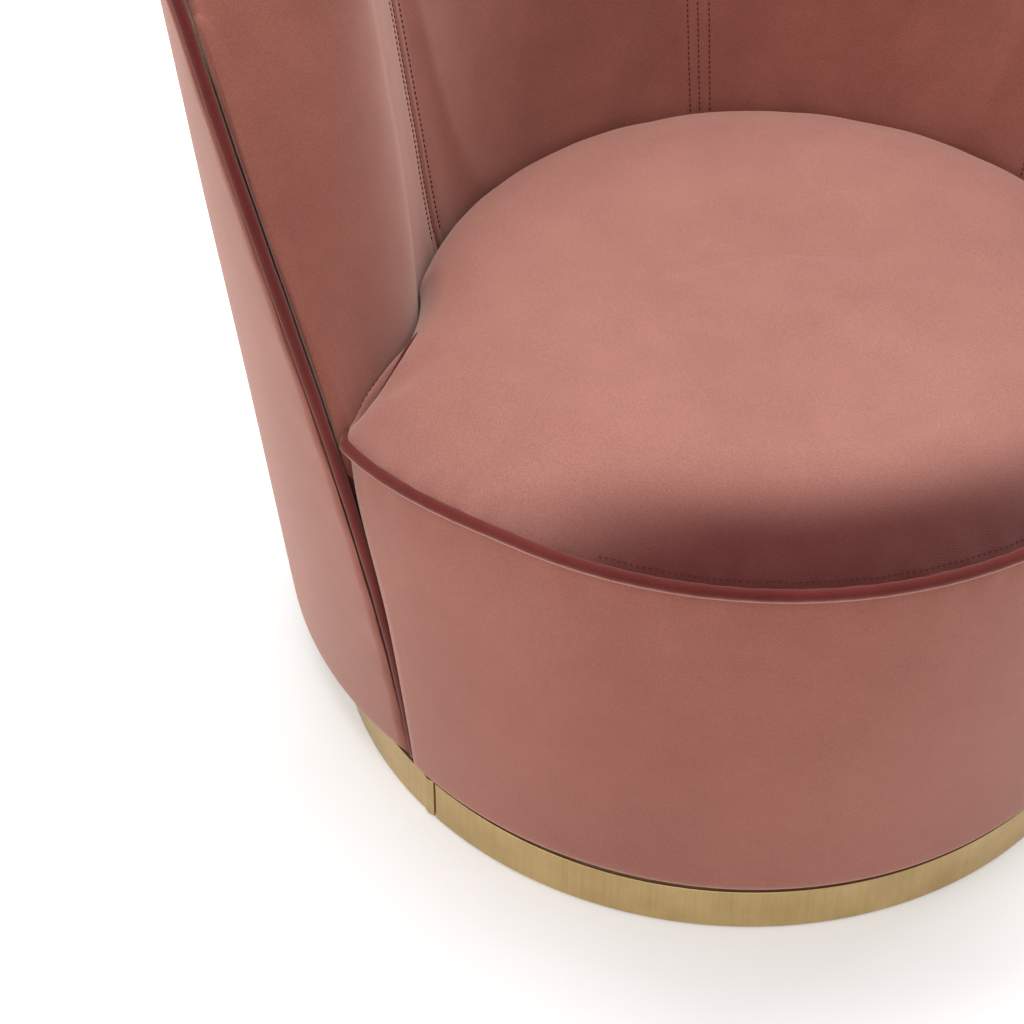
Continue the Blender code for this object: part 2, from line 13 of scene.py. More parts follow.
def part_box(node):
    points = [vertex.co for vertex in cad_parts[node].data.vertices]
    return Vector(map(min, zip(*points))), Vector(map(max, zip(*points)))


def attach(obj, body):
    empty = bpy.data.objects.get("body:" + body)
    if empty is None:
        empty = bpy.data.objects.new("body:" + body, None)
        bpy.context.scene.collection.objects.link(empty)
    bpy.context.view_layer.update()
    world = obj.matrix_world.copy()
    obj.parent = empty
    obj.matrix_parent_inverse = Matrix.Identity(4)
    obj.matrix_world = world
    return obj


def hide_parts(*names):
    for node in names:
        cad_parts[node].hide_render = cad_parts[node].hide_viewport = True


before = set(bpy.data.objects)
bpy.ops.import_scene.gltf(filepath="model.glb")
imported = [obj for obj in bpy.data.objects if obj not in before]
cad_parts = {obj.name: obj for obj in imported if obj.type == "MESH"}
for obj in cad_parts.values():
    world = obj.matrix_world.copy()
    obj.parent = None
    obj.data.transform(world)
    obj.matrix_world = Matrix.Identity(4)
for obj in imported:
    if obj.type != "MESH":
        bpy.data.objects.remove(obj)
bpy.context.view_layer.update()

# ---- the tub's shape, in the same terms as the CAD ----
BAND_LOW, BAND_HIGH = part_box("brass_band")
AXIS_Y = (BAND_LOW.y + BAND_HIGH.y) / 2  # swivel axis
PLINTH_RADIUS = 0.354
BAND_JOINT_DEG = -56.5

SHELL_CENTRE_Y = 0.07
SHELL_FOOT_RADIUS, SHELL_FLARE = 0.388, 0.096
SHELL_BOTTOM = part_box("outer_cover")[0].z
EDGE_ANGLE_FOOT, EDGE_LEAN, EDGE_POWER = 127.0, 47.3, 2.1
RIM_BACK, RIM_ARM = 0.83, 0.78
CORNER_DROP, CORNER_START = 0.08, 0.80
COVER_THICKNESS, SHELL_BOARD, LAYER_GAP = 0.008, 0.010, 0.0018

WALL_CENTRE_Y, WALL_RADIUS = -0.085, 0.290
WALL_RECLINE, WALL_LEVEL = 0.36, 0.42
WALL_LOW, WALL_HEIGHT = 0.40, 0.32  # stretch over which the wall's plan changes
NOSE_START, NOSE_DEPTH = 0.70, 0.030
NOSE_DEG, NOSE_BEND = (73.0, 68.0), (0.42, 0.25)
PAD_ROUND = 0.075
PAD_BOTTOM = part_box("back_pad")[0].z

FRONT_RADIUS, FRONT_FLARE, FRONT_SPREAD = 0.3575, 0.010, 0.018
FRONT_EDGE_FOOT, FRONT_EDGE_LEAN = 59.9, 45.0
FRONT_PAD = 0.014
FRONT_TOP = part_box("front_border")[1].z

CUSHION_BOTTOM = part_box("seat_cushion")[0].z
CUSHION_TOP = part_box("seat_cushion")[1].z
SEAT_CLEARANCE = 0.003
WELT_RADIUS = 0.0047

SEAMS = (-0.57, 0.0, 0.57)  # places of the back's seams along the shell
STITCH_PITCH, STITCH_OFFSET = 0.0046, 0.0085
METRES_PER_SHARE = 0.52  # length of inner wall per unit of s


def ease(value):
    value = min(1.0, max(0.0, value))
    return value * value * (3.0 - 2.0 * value)


def blend(a, b, share):
    return a + (b - a) * share


def bump(distance, width):
    """A smooth hill of height 1 at distance 0."""
    return math.exp(-(distance / width) ** 2)


def shell_radius(z):
    return SHELL_FOOT_RADIUS + SHELL_FLARE * z


def shell_edge_angle(z):
    return math.radians(EDGE_ANGLE_FOOT - EDGE_LEAN * max(z, 0.0) ** EDGE_POWER)


def rim_height(s):
    share = min(abs(s), 1.0)
    height = RIM_BACK - (RIM_BACK - RIM_ARM) * share ** 2
    if share > CORNER_START:
        turn = (share - CORNER_START) / (1.0 - CORNER_START)
        height -= CORNER_DROP * (1.0 - math.sqrt(max(0.0, 1.0 - turn * turn)))
    return height


def shell_point(s, z, depth):
    """A point on the shell, depth metres in from its outer face."""
    angle = s * shell_edge_angle(z)
    radius = shell_radius(z) - depth
    y = AXIS_Y + SHELL_CENTRE_Y + radius * math.cos(angle)
    return Vector((radius * math.sin(angle), y, z))


def nose_curve(x, y, end, t, z):
    """Plan of the arm's nose, from the wall at (x, y) to its end, for t from 0 to 1."""
    bend_y = blend(end.y, y, blend(*NOSE_BEND, ease((z - WALL_LOW) / WALL_HEIGHT)))
    a, b, c = (1 - t) ** 2, 2 * t * (1 - t), t * t
    return a * x + b * (x + 0.003) + c * end.x, a * y + b * bend_y + c * end.y


def wall_point(s, z):
    """The padded inner wall: a circle round the seat, then the arm's rounded nose."""
    side = 1.0 if s >= 0 else -1.0
    share = abs(s)
    start = math.radians(blend(*NOSE_DEG, ease((z - WALL_LOW) / WALL_HEIGHT)))
    angle = start * min(share, NOSE_START) / NOSE_START
    radius = WALL_RADIUS + WALL_RECLINE * max(0.0, math.cos(angle)) * (z - WALL_LEVEL)
    x, y = radius * math.sin(angle), AXIS_Y + WALL_CENTRE_Y + radius * math.cos(angle)
    if share > NOSE_START:
        t = (share - NOSE_START) / (1.0 - NOSE_START)
        x, y = nose_curve(x, y, shell_point(1.0, z, NOSE_DEPTH), t, z)
    return Vector((side * x, y, z))


def front_radius(angle, z):
    spread = FRONT_SPREAD * ease((abs(angle) - 40.0) / 29.0) * z / 0.40
    return FRONT_RADIUS + FRONT_FLARE * z + spread


def front_edge(z):
    return FRONT_EDGE_FOOT + FRONT_EDGE_LEAN * max(z, 0.0) ** EDGE_POWER


def front_point(angle, z, depth):
    """A point on the drum front; angle in degrees from the front."""
    turn = math.radians(angle)
    radius = front_radius(angle, z) - depth
    return Vector((radius * math.sin(turn), AXIS_Y - radius * math.cos(turn), z))


# ---- mesh helpers ----
def add_object(name, data):
    piece = bpy.data.objects.new(name, data)
    bpy.context.collection.objects.link(piece)
    return piece


def take_bmesh(name, bm):
    """Turn a bmesh into a smooth object."""
    mesh = bpy.data.meshes.new(name)
    bm.to_mesh(mesh)
    bm.free()
    mesh.shade_smooth()
    return add_object(name, mesh)


def skin(name, loops):
    """Skin a row of equal closed loops and close both ends. UVs are lengths in metres along and
    round the row."""
    count = len(loops[0])
    verts = [tuple(p) for loop in loops for p in loop]
    middle = count // 2
    along = [0.0]
    for before, after in zip(loops, loops[1:]):
        along.append(along[-1] + (Vector(after[middle]) - Vector(before[middle])).length)
    reference = loops[len(loops) // 2]
    around = [0.0]
    for i in range(count):
        step = Vector(reference[(i + 1) % count]) - Vector(reference[i])
        around.append(around[-1] + step.length)
    faces, uvs = [], []
    last = len(loops) - 1
    for k in range(last):
        near, far = k * count, (k + 1) * count
        for i in range(count):
            j = (i + 1) % count
            faces.append((near + i, near + j, far + j, far + i))
            uvs += [(along[k], around[i]), (along[k], around[i + 1]),
                    (along[k + 1], around[i + 1]), (along[k + 1], around[i])]
    faces.append(tuple(range(count)))
    faces.append(tuple(reversed(range(last * count, len(loops) * count))))
    uvs += [(0.0, v) for v in around[:-1]] + [(along[-1], v) for v in around[:-1]]
    mesh = bpy.data.meshes.new(name)
    mesh.from_pydata(verts, [], faces)
    layer = mesh.uv_layers.new(name="metres")
    layer.data.foreach_set("uv", [c for uv in uvs for c in uv])
    bm = bmesh.new()
    bm.from_mesh(mesh)
    bmesh.ops.recalc_face_normals(bm, faces=bm.faces)
    bm.to_mesh(mesh)
    bm.free()
    mesh.shade_smooth()
    return add_object(name, mesh)


def tube(name, points, radius, sides=14):
    """Sweep a round section along a path; radius may be a number or a function of the share."""
    points = [Vector(p) for p in points]
    loops, across = [], None
    last = len(points) - 1
    for i, p in enumerate(points):
        ahead = (points[min(i + 1, last)] - points[max(i - 1, 0)]).normalized()
        if across is None:
            across = ahead.orthogonal().normalized()
        across = (across - ahead * across.dot(ahead)).normalized()
        up = ahead.cross(across)
        size = radius(i / last) if callable(radius) else radius
        turns = [math.tau * k / sides for k in range(sides)]
        loops.append([p + (across * math.cos(t) + up * math.sin(t)) * size for t in turns])
    return skin(name, loops)


def resample(points, spacing):
    """Evenly spaced points along a polyline."""
    points = [Vector(p) for p in points]
    lengths = [0.0]
    for a, b in zip(points, points[1:]):
        lengths.append(lengths[-1] + (b - a).length)
    count = max(2, round(lengths[-1] / spacing))
    out, k = [], 0
    for i in range(count + 1):
        want = lengths[-1] * i / count
        while k < len(points) - 2 and lengths[k + 1] < want:
            k += 1
        span = max(lengths[k + 1] - lengths[k], 1e-9)
        out.append(points[k].lerp(points[k + 1], (want - lengths[k]) / span))
    return out


STITCH_LIFT = 0.0002


def stitch_row(name, points, face_of, length=0.0034, radius=0.00055):
    """Short thread stitches along a line, each a rounded bar that dips at both ends. face_of
    gives the direction that the cloth faces at a point."""
    path = resample(points, STITCH_PITCH)
    bm = bmesh.new()
    for a, b in zip(path, path[1:]):
        middle = (a + b) / 2
        ahead = (b - a).normalized()
        face = face_of(middle)
        face = (face - ahead * face.dot(ahead)).normalized()
        across = ahead.cross(face)
        rings = []
        for share, size, height in ((-1.0, 0.35, -0.9), (-0.6, 0.9, 0.0), (0.0, 1.0, 0.35),
                                    (0.6, 0.9, 0.0), (1.0, 0.35, -0.9)):
            centre = middle + ahead * share * length / 2 + face * (height * radius + STITCH_LIFT)
            ring = []
            for k in range(6):
                t = math.tau * k / 6
                ring.append(bm.verts.new(centre + (across * math.cos(t) + face * math.sin(t))
                                         * radius * size))
            rings.append(ring)
        for ring, after in zip(rings, rings[1:]):
            for k in range(6):
                bm.faces.new((ring[k], ring[(k + 1) % 6], after[(k + 1) % 6], after[k]))
        bm.faces.new(rings[0])
        bm.faces.new(list(reversed(rings[-1])))
    bmesh.ops.recalc_face_normals(bm, faces=bm.faces)
    return take_bmesh(name, bm)


def move_points(piece, shift):
    """Move every vertex by shift(position, normal), in metres."""
    mesh = piece.data
    normals = [n.vector.copy() for n in mesh.vertex_normals]
    for vertex, normal in zip(mesh.vertices, normals):
        vertex.co += shift(vertex.co.copy(), normal)
    mesh.update()


CLOTH_FRAMES = 20
CLOTH = {"quality": 5, "mass": 0.3, "tension_stiffness": 12, "compression_stiffness": 12,
         "bending_stiffness": 4, "vertex_group_mass": "sewn", "use_pressure": True}


def inflate(piece, free, pressure, cap, settle):
    """Swell a padded piece with cloth pressure. free(position) is 0 where the cover is sewn
    down and 1 where it is loose; no point travels further than the cap. settle is the number of
    times that the swell is evened out between neighbours, as tight foam does."""
    rest = [v.co.copy() for v in piece.data.vertices]
    group = piece.vertex_groups.new(name="sewn")
    loose = np.array([free(co) for co in rest])
    for i, share in enumerate(loose):
        group.add([i], 1.0 - share, "REPLACE")
    cloth = piece.modifiers.new("cloth", "CLOTH")
    for setting, value in CLOTH.items():
        setattr(cloth.settings, setting, value)
    cloth.settings.uniform_pressure_force = pressure
    cloth.settings.effector_weights.gravity = 0.0
    cloth.point_cache.frame_start = 1
    cloth.point_cache.frame_end = CLOTH_FRAMES
    scene = bpy.context.scene
    for f in range(1, CLOTH_FRAMES + 1):
        scene.frame_set(f)
    evaluated = piece.evaluated_get(bpy.context.evaluated_depsgraph_get())
    moves = np.array([v.co - start for v, start in zip(evaluated.data.vertices, rest)])
    piece.modifiers.remove(cloth)
    piece.vertex_groups.clear()
    ends = np.array([tuple(edge.vertices) for edge in piece.data.edges])
    count = np.bincount(ends.ravel(), minlength=len(rest))[:, None]
    for _ in range(settle):
        total = np.zeros_like(moves)
        np.add.at(total, ends[:, 0], moves[ends[:, 1]])
        np.add.at(total, ends[:, 1], moves[ends[:, 0]])
        moves = (0.5 * moves + 0.5 * total / count) * np.minimum(1.0, loose * 4.0)[:, None]
    length = np.linalg.norm(moves, axis=1)[:, None]
    moves *= np.minimum(1.0, cap / np.maximum(length, 1e-9))
    for vertex, start, move in zip(piece.data.vertices, rest, moves):
        vertex.co = start + Vector(move)
    piece.data.update()
    scene.frame_set(1)


# ---- materials ----
class Shader:
    """A Principled material with short calls for the nodes that feed it."""

    def __init__(self, name, **sockets):
        self.material = bpy.data.materials.new(name)
        self.material.use_nodes = True
        self.tree = self.material.node_tree
        self.out = self.tree.nodes["Principled BSDF"]
        for socket, value in sockets.items():
            self.out.inputs[socket.replace("_", " ")].default_value = value

    def node(self, kind, **values):
        made = self.tree.nodes.new(kind)
        for key, value in values.items():
            if hasattr(made, key):
                setattr(made, key, value)
            else:
                made.inputs[key.replace("_", " ")].default_value = value
        return made

    def link(self, source, target):
        self.tree.links.new(source, target)

    def place(self, scale=(1, 1, 1), uv=False, shift=(0, 0, 0)):
        """Coordinates in metres: the frame's own, or along the cloth."""
        if uv:
            source = self.node("ShaderNodeUVMap", uv_map="metres").outputs["UV"]
        else:
            source = self.node("ShaderNodeTexCoord").outputs["Object"]
        mapping = self.node("ShaderNodeMapping")
        mapping.inputs["Scale"].default_value = scale
        mapping.inputs["Location"].default_value = shift
        self.link(source, mapping.inputs["Vector"])
        return mapping.outputs["Vector"]

    def noise(self, vector, scale, detail=4.0, roughness=0.55):
        made = self.node("ShaderNodeTexNoise", Scale=scale, Detail=detail, Roughness=roughness)
        self.link(vector, made.inputs["Vector"])
        return made.outputs["Fac"]

    def wave(self, vector, scale, axis, distortion=0.0):
        made = self.node("ShaderNodeTexWave", Scale=scale, Distortion=distortion, Detail=1.0)
        made.bands_direction = axis
        self.link(vector, made.inputs["Vector"])
        return made.outputs["Fac"]

    def ramp(self, value, stops):
        made = self.node("ShaderNodeValToRGB")
        elements = made.color_ramp.elements
        while len(elements) < len(stops):
            elements.new(0.5)
        for element, (position, colour) in zip(elements, stops):
            element.position = position
            element.color = (*colour, 1.0)
        self.link(value, made.inputs["Fac"])
        return made.outputs["Color"]

    def range(self, value, low, high, start=0.0, stop=1.0, smooth=False):
        made = self.node("ShaderNodeMapRange", From_Min=start, From_Max=stop)
        made.interpolation_type = "SMOOTHSTEP" if smooth else "LINEAR"
        made.inputs["To Min"].default_value = low
        made.inputs["To Max"].default_value = high
        self.link(value, made.inputs["Value"])
        return made.outputs["Result"]

    def math(self, operation, a, b):
        made = self.node("ShaderNodeMath", operation=operation)
        for socket, value in zip(made.inputs, (a, b)):
            if isinstance(value, (int, float)):
                socket.default_value = value
            else:
                self.link(value, socket)
        return made.outputs["Value"]

    def mix(self, share, a, b, mode="MIX"):
        made = self.node("ShaderNodeMix", data_type="RGBA", blend_type=mode)
        for socket, value in ((made.inputs["Factor"], share), (made.inputs[6], a),
                              (made.inputs[7], b)):
            if isinstance(value, (int, float)):
                socket.default_value = value
            elif isinstance(value, tuple):
                socket.default_value = (*value, 1.0)
            else:
                self.link(value, socket)
        return made.outputs[2]

    def darken(self, share, colour, value, dark, pale):
        """Multiply a colour by greys; dark and pale are each (position, grey)."""
        stops = [(position, (grey,) * 3) for position, grey in (dark, pale)]
        return self.mix(share, colour, self.ramp(value, stops), "MULTIPLY")

    def bump(self, heights):
        """Stack (height, distance, strength) layers of bump."""
        before = None
        for height, distance, strength in heights:
            made = self.node("ShaderNodeBump", Distance=distance, Strength=strength)
            self.link(height, made.inputs["Height"])
            if before is not None:
                self.link(before, made.inputs["Normal"])
            before = made.outputs["Normal"]
        self.link(before, self.out.inputs["Normal"])

    def base(self, colour):
        self.link(colour, self.out.inputs["Base Color"])

    def rough(self, value):
        self.link(value, self.out.inputs["Roughness"])


def velvet(name, deep, light, sheen=0.55, sheen_roughness=0.52, weave=1.0, flat=False,
           painted_roll_shade=None):
    """Short-pile velvet: a deep body colour, a pale sheen where the pile is seen from its side,
    shading where hands have stroked it, and the ground weave just showing through. A flat piece
    takes its weave from above. The roll colour is painted shade: a dark tone painted over the
    seat's front roll, where velvet seen head-on looks dark."""
    s = Shader(name, Roughness=0.9, Sheen_Weight=sheen, Sheen_Roughness=sheen_roughness,
               Sheen_Tint=(1.0, 0.74, 0.65, 1.0), Specular_IOR_Level=0.08)
    here = s.place()
    cloth = here if flat else s.place(uv=True)
    stroked = s.noise(s.place((1.0, 1.0, 0.55)), 4.5, 3.0, 0.55)
    cloud = s.noise(here, 26.0, 3.0, 0.6)
    pile = s.noise(here, 760.0, 2.0, 0.75)
    warp = s.wave(cloth, 250.0, "X", 0.8)
    weft = s.wave(cloth, 220.0, "Y", 0.8)
    ground = s.math("MULTIPLY", warp, weft)
    shade = s.math("ADD", s.math("MULTIPLY", stroked, 0.70), s.math("MULTIPLY", cloud, 0.30))
    middle = tuple((a + b) / 2 for a, b in zip(deep, light))
    colour = s.ramp(shade, [(0.34, deep), (0.50, middle), (0.66, light)])
    # painted shade: the seat's front roll is darkened towards a deep tone, where velvet seen
    # head-on looks dark
    if painted_roll_shade:
        plan = s.place((1.0, 1.0, 0.0), shift=(0.0, -AXIS_Y, 0.0))
        reach = s.node("ShaderNodeVectorMath", operation="LENGTH")
        s.link(plan, reach.inputs[0])
        split = s.node("ShaderNodeSeparateXYZ")
        s.link(plan, split.inputs["Vector"])
        outer = s.range(reach.outputs["Value"], 0.0, 1.0, ROLL_START, ROLL_FULL, smooth=True)
        ahead = s.range(split.outputs["Y"], 1.0, 0.0, ROLL_FRONT, ROLL_SIDE, smooth=True)
        painted_shade = s.math("MULTIPLY", s.math("MULTIPLY", outer, ahead), s.range(cloud, 0.84, 1.0))
        colour = s.mix(painted_shade, colour, painted_roll_shade)
    colour = s.darken(0.30 * weave, colour, ground, (0.1, 0.66), (0.8, 1.12))
    colour = s.darken(0.42, colour, pile, (0.34, 0.62), (0.66, 1.22))
    s.base(colour)
    s.rough(s.range(pile, 0.80, 0.98))
    s.bump([(cloud, 0.0010, 0.15), (ground, 0.0003, 0.35 * weave), (pile, 0.0005, 0.50)])
    return s.material


def thread(name):
    """Twisted polyester sewing thread."""
    s = Shader(name, Roughness=0.6, Specular_IOR_Level=0.3)
    twist = s.wave(s.place(), 900.0, "DIAGONAL", 0.5)
    fuzz = s.noise(s.place(), 2600.0, 2.0, 0.6)
    s.base(s.ramp(twist, [(0.2, (0.035, 0.008, 0.007)), (0.8, (0.085, 0.020, 0.016))]))
    s.bump([(twist, 0.0002, 0.5), (fuzz, 0.0001, 0.4)])
    return s.material


def brushed_brass(name):
    """Lacquered brass strip brushed across its height, with fine scratches and patchy tarnish."""
    s = Shader(name, Metallic=1.0, Anisotropic=0.55, Anisotropic_Rotation=0.25)
    along = s.place(uv=True)
    grain = s.noise(s.place((1400.0, 18.0, 1.0), uv=True), 1.0, 3.0, 0.6)
    streak = s.noise(s.place((160.0, 5.0, 1.0), uv=True), 1.0, 3.0, 0.6)
    tarnish = s.noise(along, 14.0, 4.0, 0.6)
    colour = s.ramp(tarnish, [(0.3, (0.46, 0.32, 0.14)), (0.7, (0.60, 0.44, 0.21))])
    colour = s.darken(0.35, colour, grain, (0.3, 0.66), (0.7, 1.1))
    colour = s.darken(0.25, colour, streak, (0.3, 0.75), (0.7, 1.1))
    s.base(colour)
    s.rough(s.range(grain, 0.26, 0.46))
    s.bump([(grain, 0.0002, 0.25), (tarnish, 0.0008, 0.08)])
    return s.material


def plywood(name, pale=(0.62, 0.45, 0.28), dark=(0.42, 0.27, 0.14), layered=True):
    """Birch plywood: long grain, pores, and the plies on its edges."""
    s = Shader(name, Specular_IOR_Level=0.35)
    grain = s.noise(s.place((9.0, 90.0, 9.0)), 1.0, 5.0, 0.65)
    pores = s.noise(s.place((40.0, 900.0, 40.0)), 1.0, 3.0, 0.6)
    colour = s.ramp(grain, [(0.32, dark), (0.5, tuple((a + b) / 2 for a, b in zip(pale, dark))),
                            (0.68, pale)])
    if layered:
        plies = s.wave(s.place(), 62.0, "Z", 0.25)
        colour = s.darken(0.30, colour, plies, (0.3, 0.66), (0.6, 1.05))
    s.base(colour)
    s.rough(s.range(grain, 0.55, 0.78))
    s.bump([(pores, 0.0004, 0.35), (grain, 0.0006, 0.2)])
    return s.material


def metal(name, colour, rough, metallic=1.0, fleck=0.25, orange_peel=0.15):
    """Plated or powder-coated steel with flecks, scuffs and a little waviness."""
    s = Shader(name, Metallic=metallic)
    here = s.place()
    spangle = s.node("ShaderNodeTexVoronoi", Scale=420.0)
    s.link(here, spangle.inputs["Vector"])
    scuff = s.noise(s.place((30.0, 260.0, 60.0)), 1.0, 4.0, 0.65)
    peel = s.noise(here, 1600.0, 2.0, 0.5)
    dark = tuple(c * 0.62 for c in colour)
    body = s.ramp(scuff, [(0.32, dark), (0.62, colour)])
    s.base(s.mix(fleck, body, spangle.outputs["Color"], "SOFT_LIGHT"))
    s.rough(s.range(scuff, rough - 0.10, rough + 0.12))
    s.bump([(peel, 0.0002, orange_peel), (scuff, 0.0003, 0.12)])
    return s.material


def plastic(name, colour):
    """Moulded nylon, worn dull in places."""
    s = Shader(name, Specular_IOR_Level=0.45)
    here = s.place()
    grain = s.noise(here, 1300.0, 3.0, 0.6)
    wear = s.noise(here, 60.0, 4.0, 0.6)
    dark, pale = tuple(c * 0.7 for c in colour), tuple(c * 1.6 for c in colour)
    s.base(s.ramp(wear, [(0.3, dark), (0.7, pale)]))
    s.rough(s.range(wear, 0.42, 0.66))
    s.bump([(grain, 0.0003, 0.3)])
    return s.material


def foam(name):
    """Open-cell foam, yellowed in places."""
    s = Shader(name, Roughness=0.95)
    here = s.place()
    cells = s.node("ShaderNodeTexVoronoi", Scale=520.0)
    s.link(here, cells.inputs["Vector"])
    age = s.noise(here, 9.0, 4.0, 0.6)
    colour = s.ramp(age, [(0.3, (0.70, 0.58, 0.32)), (0.7, (0.86, 0.78, 0.55))])
    s.base(s.darken(0.35, colour, cells.outputs["Distance"], (0.1, 0.5), (0.6, 1.0)))
    s.bump([(cells.outputs["Distance"], 0.0009, 0.6)])
    return s.material


def lining(name):
    """Non-woven dust cloth: matted fibres with small pressed dots."""
    s = Shader(name, Roughness=0.95, Sheen_Weight=0.25)
    here = s.place()
    fibre = s.noise(s.place((240.0, 900.0, 240.0)), 1.0, 4.0, 0.7)
    dots = s.node("ShaderNodeTexVoronoi", Scale=480.0)
    s.link(here, dots.inputs["Vector"])
    colour = s.ramp(fibre, [(0.3, (0.012, 0.012, 0.014)), (0.7, (0.045, 0.045, 0.05))])
    s.base(colour)
    s.bump([(fibre, 0.0003, 0.5), (dots.outputs["Distance"], 0.0004, 0.5)])
    return s.material


def floor_material(name):
    """Plain white studio floor, lifted a little so that it meets the white background."""
    s = Shader(name, Roughness=0.8, Emission_Color=(1.0, 1.0, 1.0, 1.0), Emission_Strength=0.13)
    speck = s.noise(s.place(), 6.0, 3.0, 0.5)
    s.base(s.ramp(speck, [(0.3, (0.93, 0.93, 0.93)), (0.7, (0.96, 0.96, 0.96))]))
    return s.material


# Where painted shade darkens the seat's front roll: distance from the axis, and from front to
# side.
ROLL_START, ROLL_FULL = 0.270, 0.338
ROLL_FRONT, ROLL_SIDE = -0.335, -0.235
ROSE = velvet("velvet_rose", (0.235, 0.070, 0.051), (0.330, 0.108, 0.079))
ROSE_FRONT = velvet("velvet_front", (0.262, 0.079, 0.057), (0.318, 0.103, 0.075))
# a paler copy of the velvet for the fold under the seat's welt: painted highlight for the pale
# sheen line along the welt's lower edge
ROSE_PALE_HIGHLIGHT = velvet("velvet_fold_highlight", (0.330, 0.130, 0.102), (0.420, 0.180, 0.145), weave=0.5)
# a paler, lit copy of the velvet for the seat's top: painted highlight for the sheen on its upward
# face, with painted shade over its front roll
ROSE_SEAT_LIT = velvet("velvet_seat_lit", (0.320, 0.128, 0.101), (0.385, 0.162, 0.130), flat=True,
                   painted_roll_shade=(0.070, 0.0055, 0.0065))
# a much darker, shaded copy of the velvet for the cords, tucks and flanges: painted shade for
# velvet seen head-on
ROSE_WELT_SHADED = velvet("velvet_welt", (0.085, 0.010, 0.009), (0.140, 0.021, 0.018), sheen=0.30,
                   weave=0.5)
THREAD = thread("thread_rose")
BRASS = brushed_brass("brass_brushed")
BIRCH = plywood("birch_plywood")
BEECH = plywood("beech_solid", (0.56, 0.36, 0.22), (0.38, 0.22, 0.12), layered=False)
ZINC = metal("steel_zinc", (0.60, 0.61, 0.63), 0.34)
BLACK = metal("steel_black", (0.030, 0.030, 0.033), 0.48, metallic=0.0, fleck=0.05,
              orange_peel=0.35)
SPRING = metal("steel_spring", (0.16, 0.16, 0.17), 0.38)
NYLON = plastic("nylon_black", (0.025, 0.025, 0.026))
FOAM = foam("foam_cream")
CAMBRIC = lining("cambric_black")


def dress(piece, material, body, slot, *nodes):
    """Give a new piece its material, its body and the CAD nodes that it stands for."""
    piece.data.materials.clear()
    piece.data.materials.append(material)
    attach(piece, body)
    if nodes:
        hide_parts(*nodes)
    return piece


# ---- velvet pieces ----
def seam_distance(s):
    """Distance in metres along the wall to the nearest seam."""
    return min(abs(s - seam) for seam in SEAMS) * METRES_PER_SHARE


def pad_stations():
    """Steps along the pad: about 9 mm apart, finer next to each seam and at the nose."""
    places = set(round(-1.0 + 2.0 * k / 220, 5) for k in range(221))
    for seam in SEAMS:
        for offset in (0.0, 0.0012, 0.0026, 0.0045, 0.0062, 0.0085, 0.0108, 0.0135):
            for side in (-1, 1):
                places.add(round(seam + side * offset / METRES_PER_SHARE, 5))
    places = sorted(p for p in places if -1.0 <= p <= 1.0)
    kept = [places[0]]
    for p in places[1:]:
        if p - kept[-1] > 0.0017:
            kept.append(p)
    kept[-1] = 1.0
    return kept


PAD_DEPTH = COVER_THICKNESS + SHELL_BOARD + 2 * LAYER_GAP
LIP_DEPTH, LIP_RISE = 0.0128, 0.0080  # the pad's edge over the board, beside the welt
NOSE_REACH = 0.0068


def arm_face(side, t, z):
    """The arm's padded face, curving from the round wall at t = 0 to the shell's welt at 1."""
    start = wall_point(NOSE_START, z)
    beyond = NOSE_REACH / (shell_radius(z) * shell_edge_angle(z))
    end = shell_point(1.0 + beyond, z, blend(0.0250, 0.0165, ease((z - 0.43) / 0.09)))
    x, y = nose_curve(start.x, start.y, end, t, z)
    return Vector((side * x, y, z))


def pad_loop(s, forward):
    """One closed section of the pad. forward is how far it stands past the shell's front edge."""
    side = 1.0 if s > 0 else -1.0
    curl = 1.0 - math.sqrt(max(0.0, 1.0 - (forward / NOSE_REACH) ** 2))
    top = rim_height(s)
    crest = top + LIP_RISE * (1.0 - 0.8 * curl)

    def ahead(z):
        """The nose draws back behind the welt's flange below the seat."""
        return forward * blend(0.12, 1.0, ease((z - CUSHION_BOTTOM + 0.035) / 0.035))

    def board_point(z, depth):
        beyond = ahead(z) / (shell_radius(z) * shell_edge_angle(z))
        return shell_point(s + side * beyond, z, depth)

    back_depth = PAD_DEPTH if forward == 0.0 else LIP_DEPTH
    outer = [board_point(blend(PAD_BOTTOM, top - 0.0015, k / 14), back_depth) for k in range(15)]
    outer.append(board_point(top + 0.0012, LIP_DEPTH))
    outer.append(board_point(blend(top + 0.0012, crest, 0.6), LIP_DEPTH))

    straight, arc = 44, 16
    start = crest - PAD_ROUND
    rows = [blend(PAD_BOTTOM, start, k / straight) for k in range(straight + 1)]
    rows += [start + PAD_ROUND * math.sin(math.pi / 2 * k / arc) for k in range(1, arc)]
    share = abs(s)
    inner = []
    for z in rows:
        base = board_point(z, 0.0155)
        rise = max(0.0, 1.0 - (crest - z) / PAD_ROUND)
        full = (1.0 - rise ** 2.2) ** (1 / 2.2)
        if share > NOSE_START:
            t = 0.93 * (share - NOSE_START) / (1.0 - NOSE_START) + 0.07 * ahead(z) / NOSE_REACH
            face = arm_face(side, t, z)
        else:
            face = wall_point(s, z)
        inner.append(base + (face - base) * full)
    return outer + list(reversed(inner))


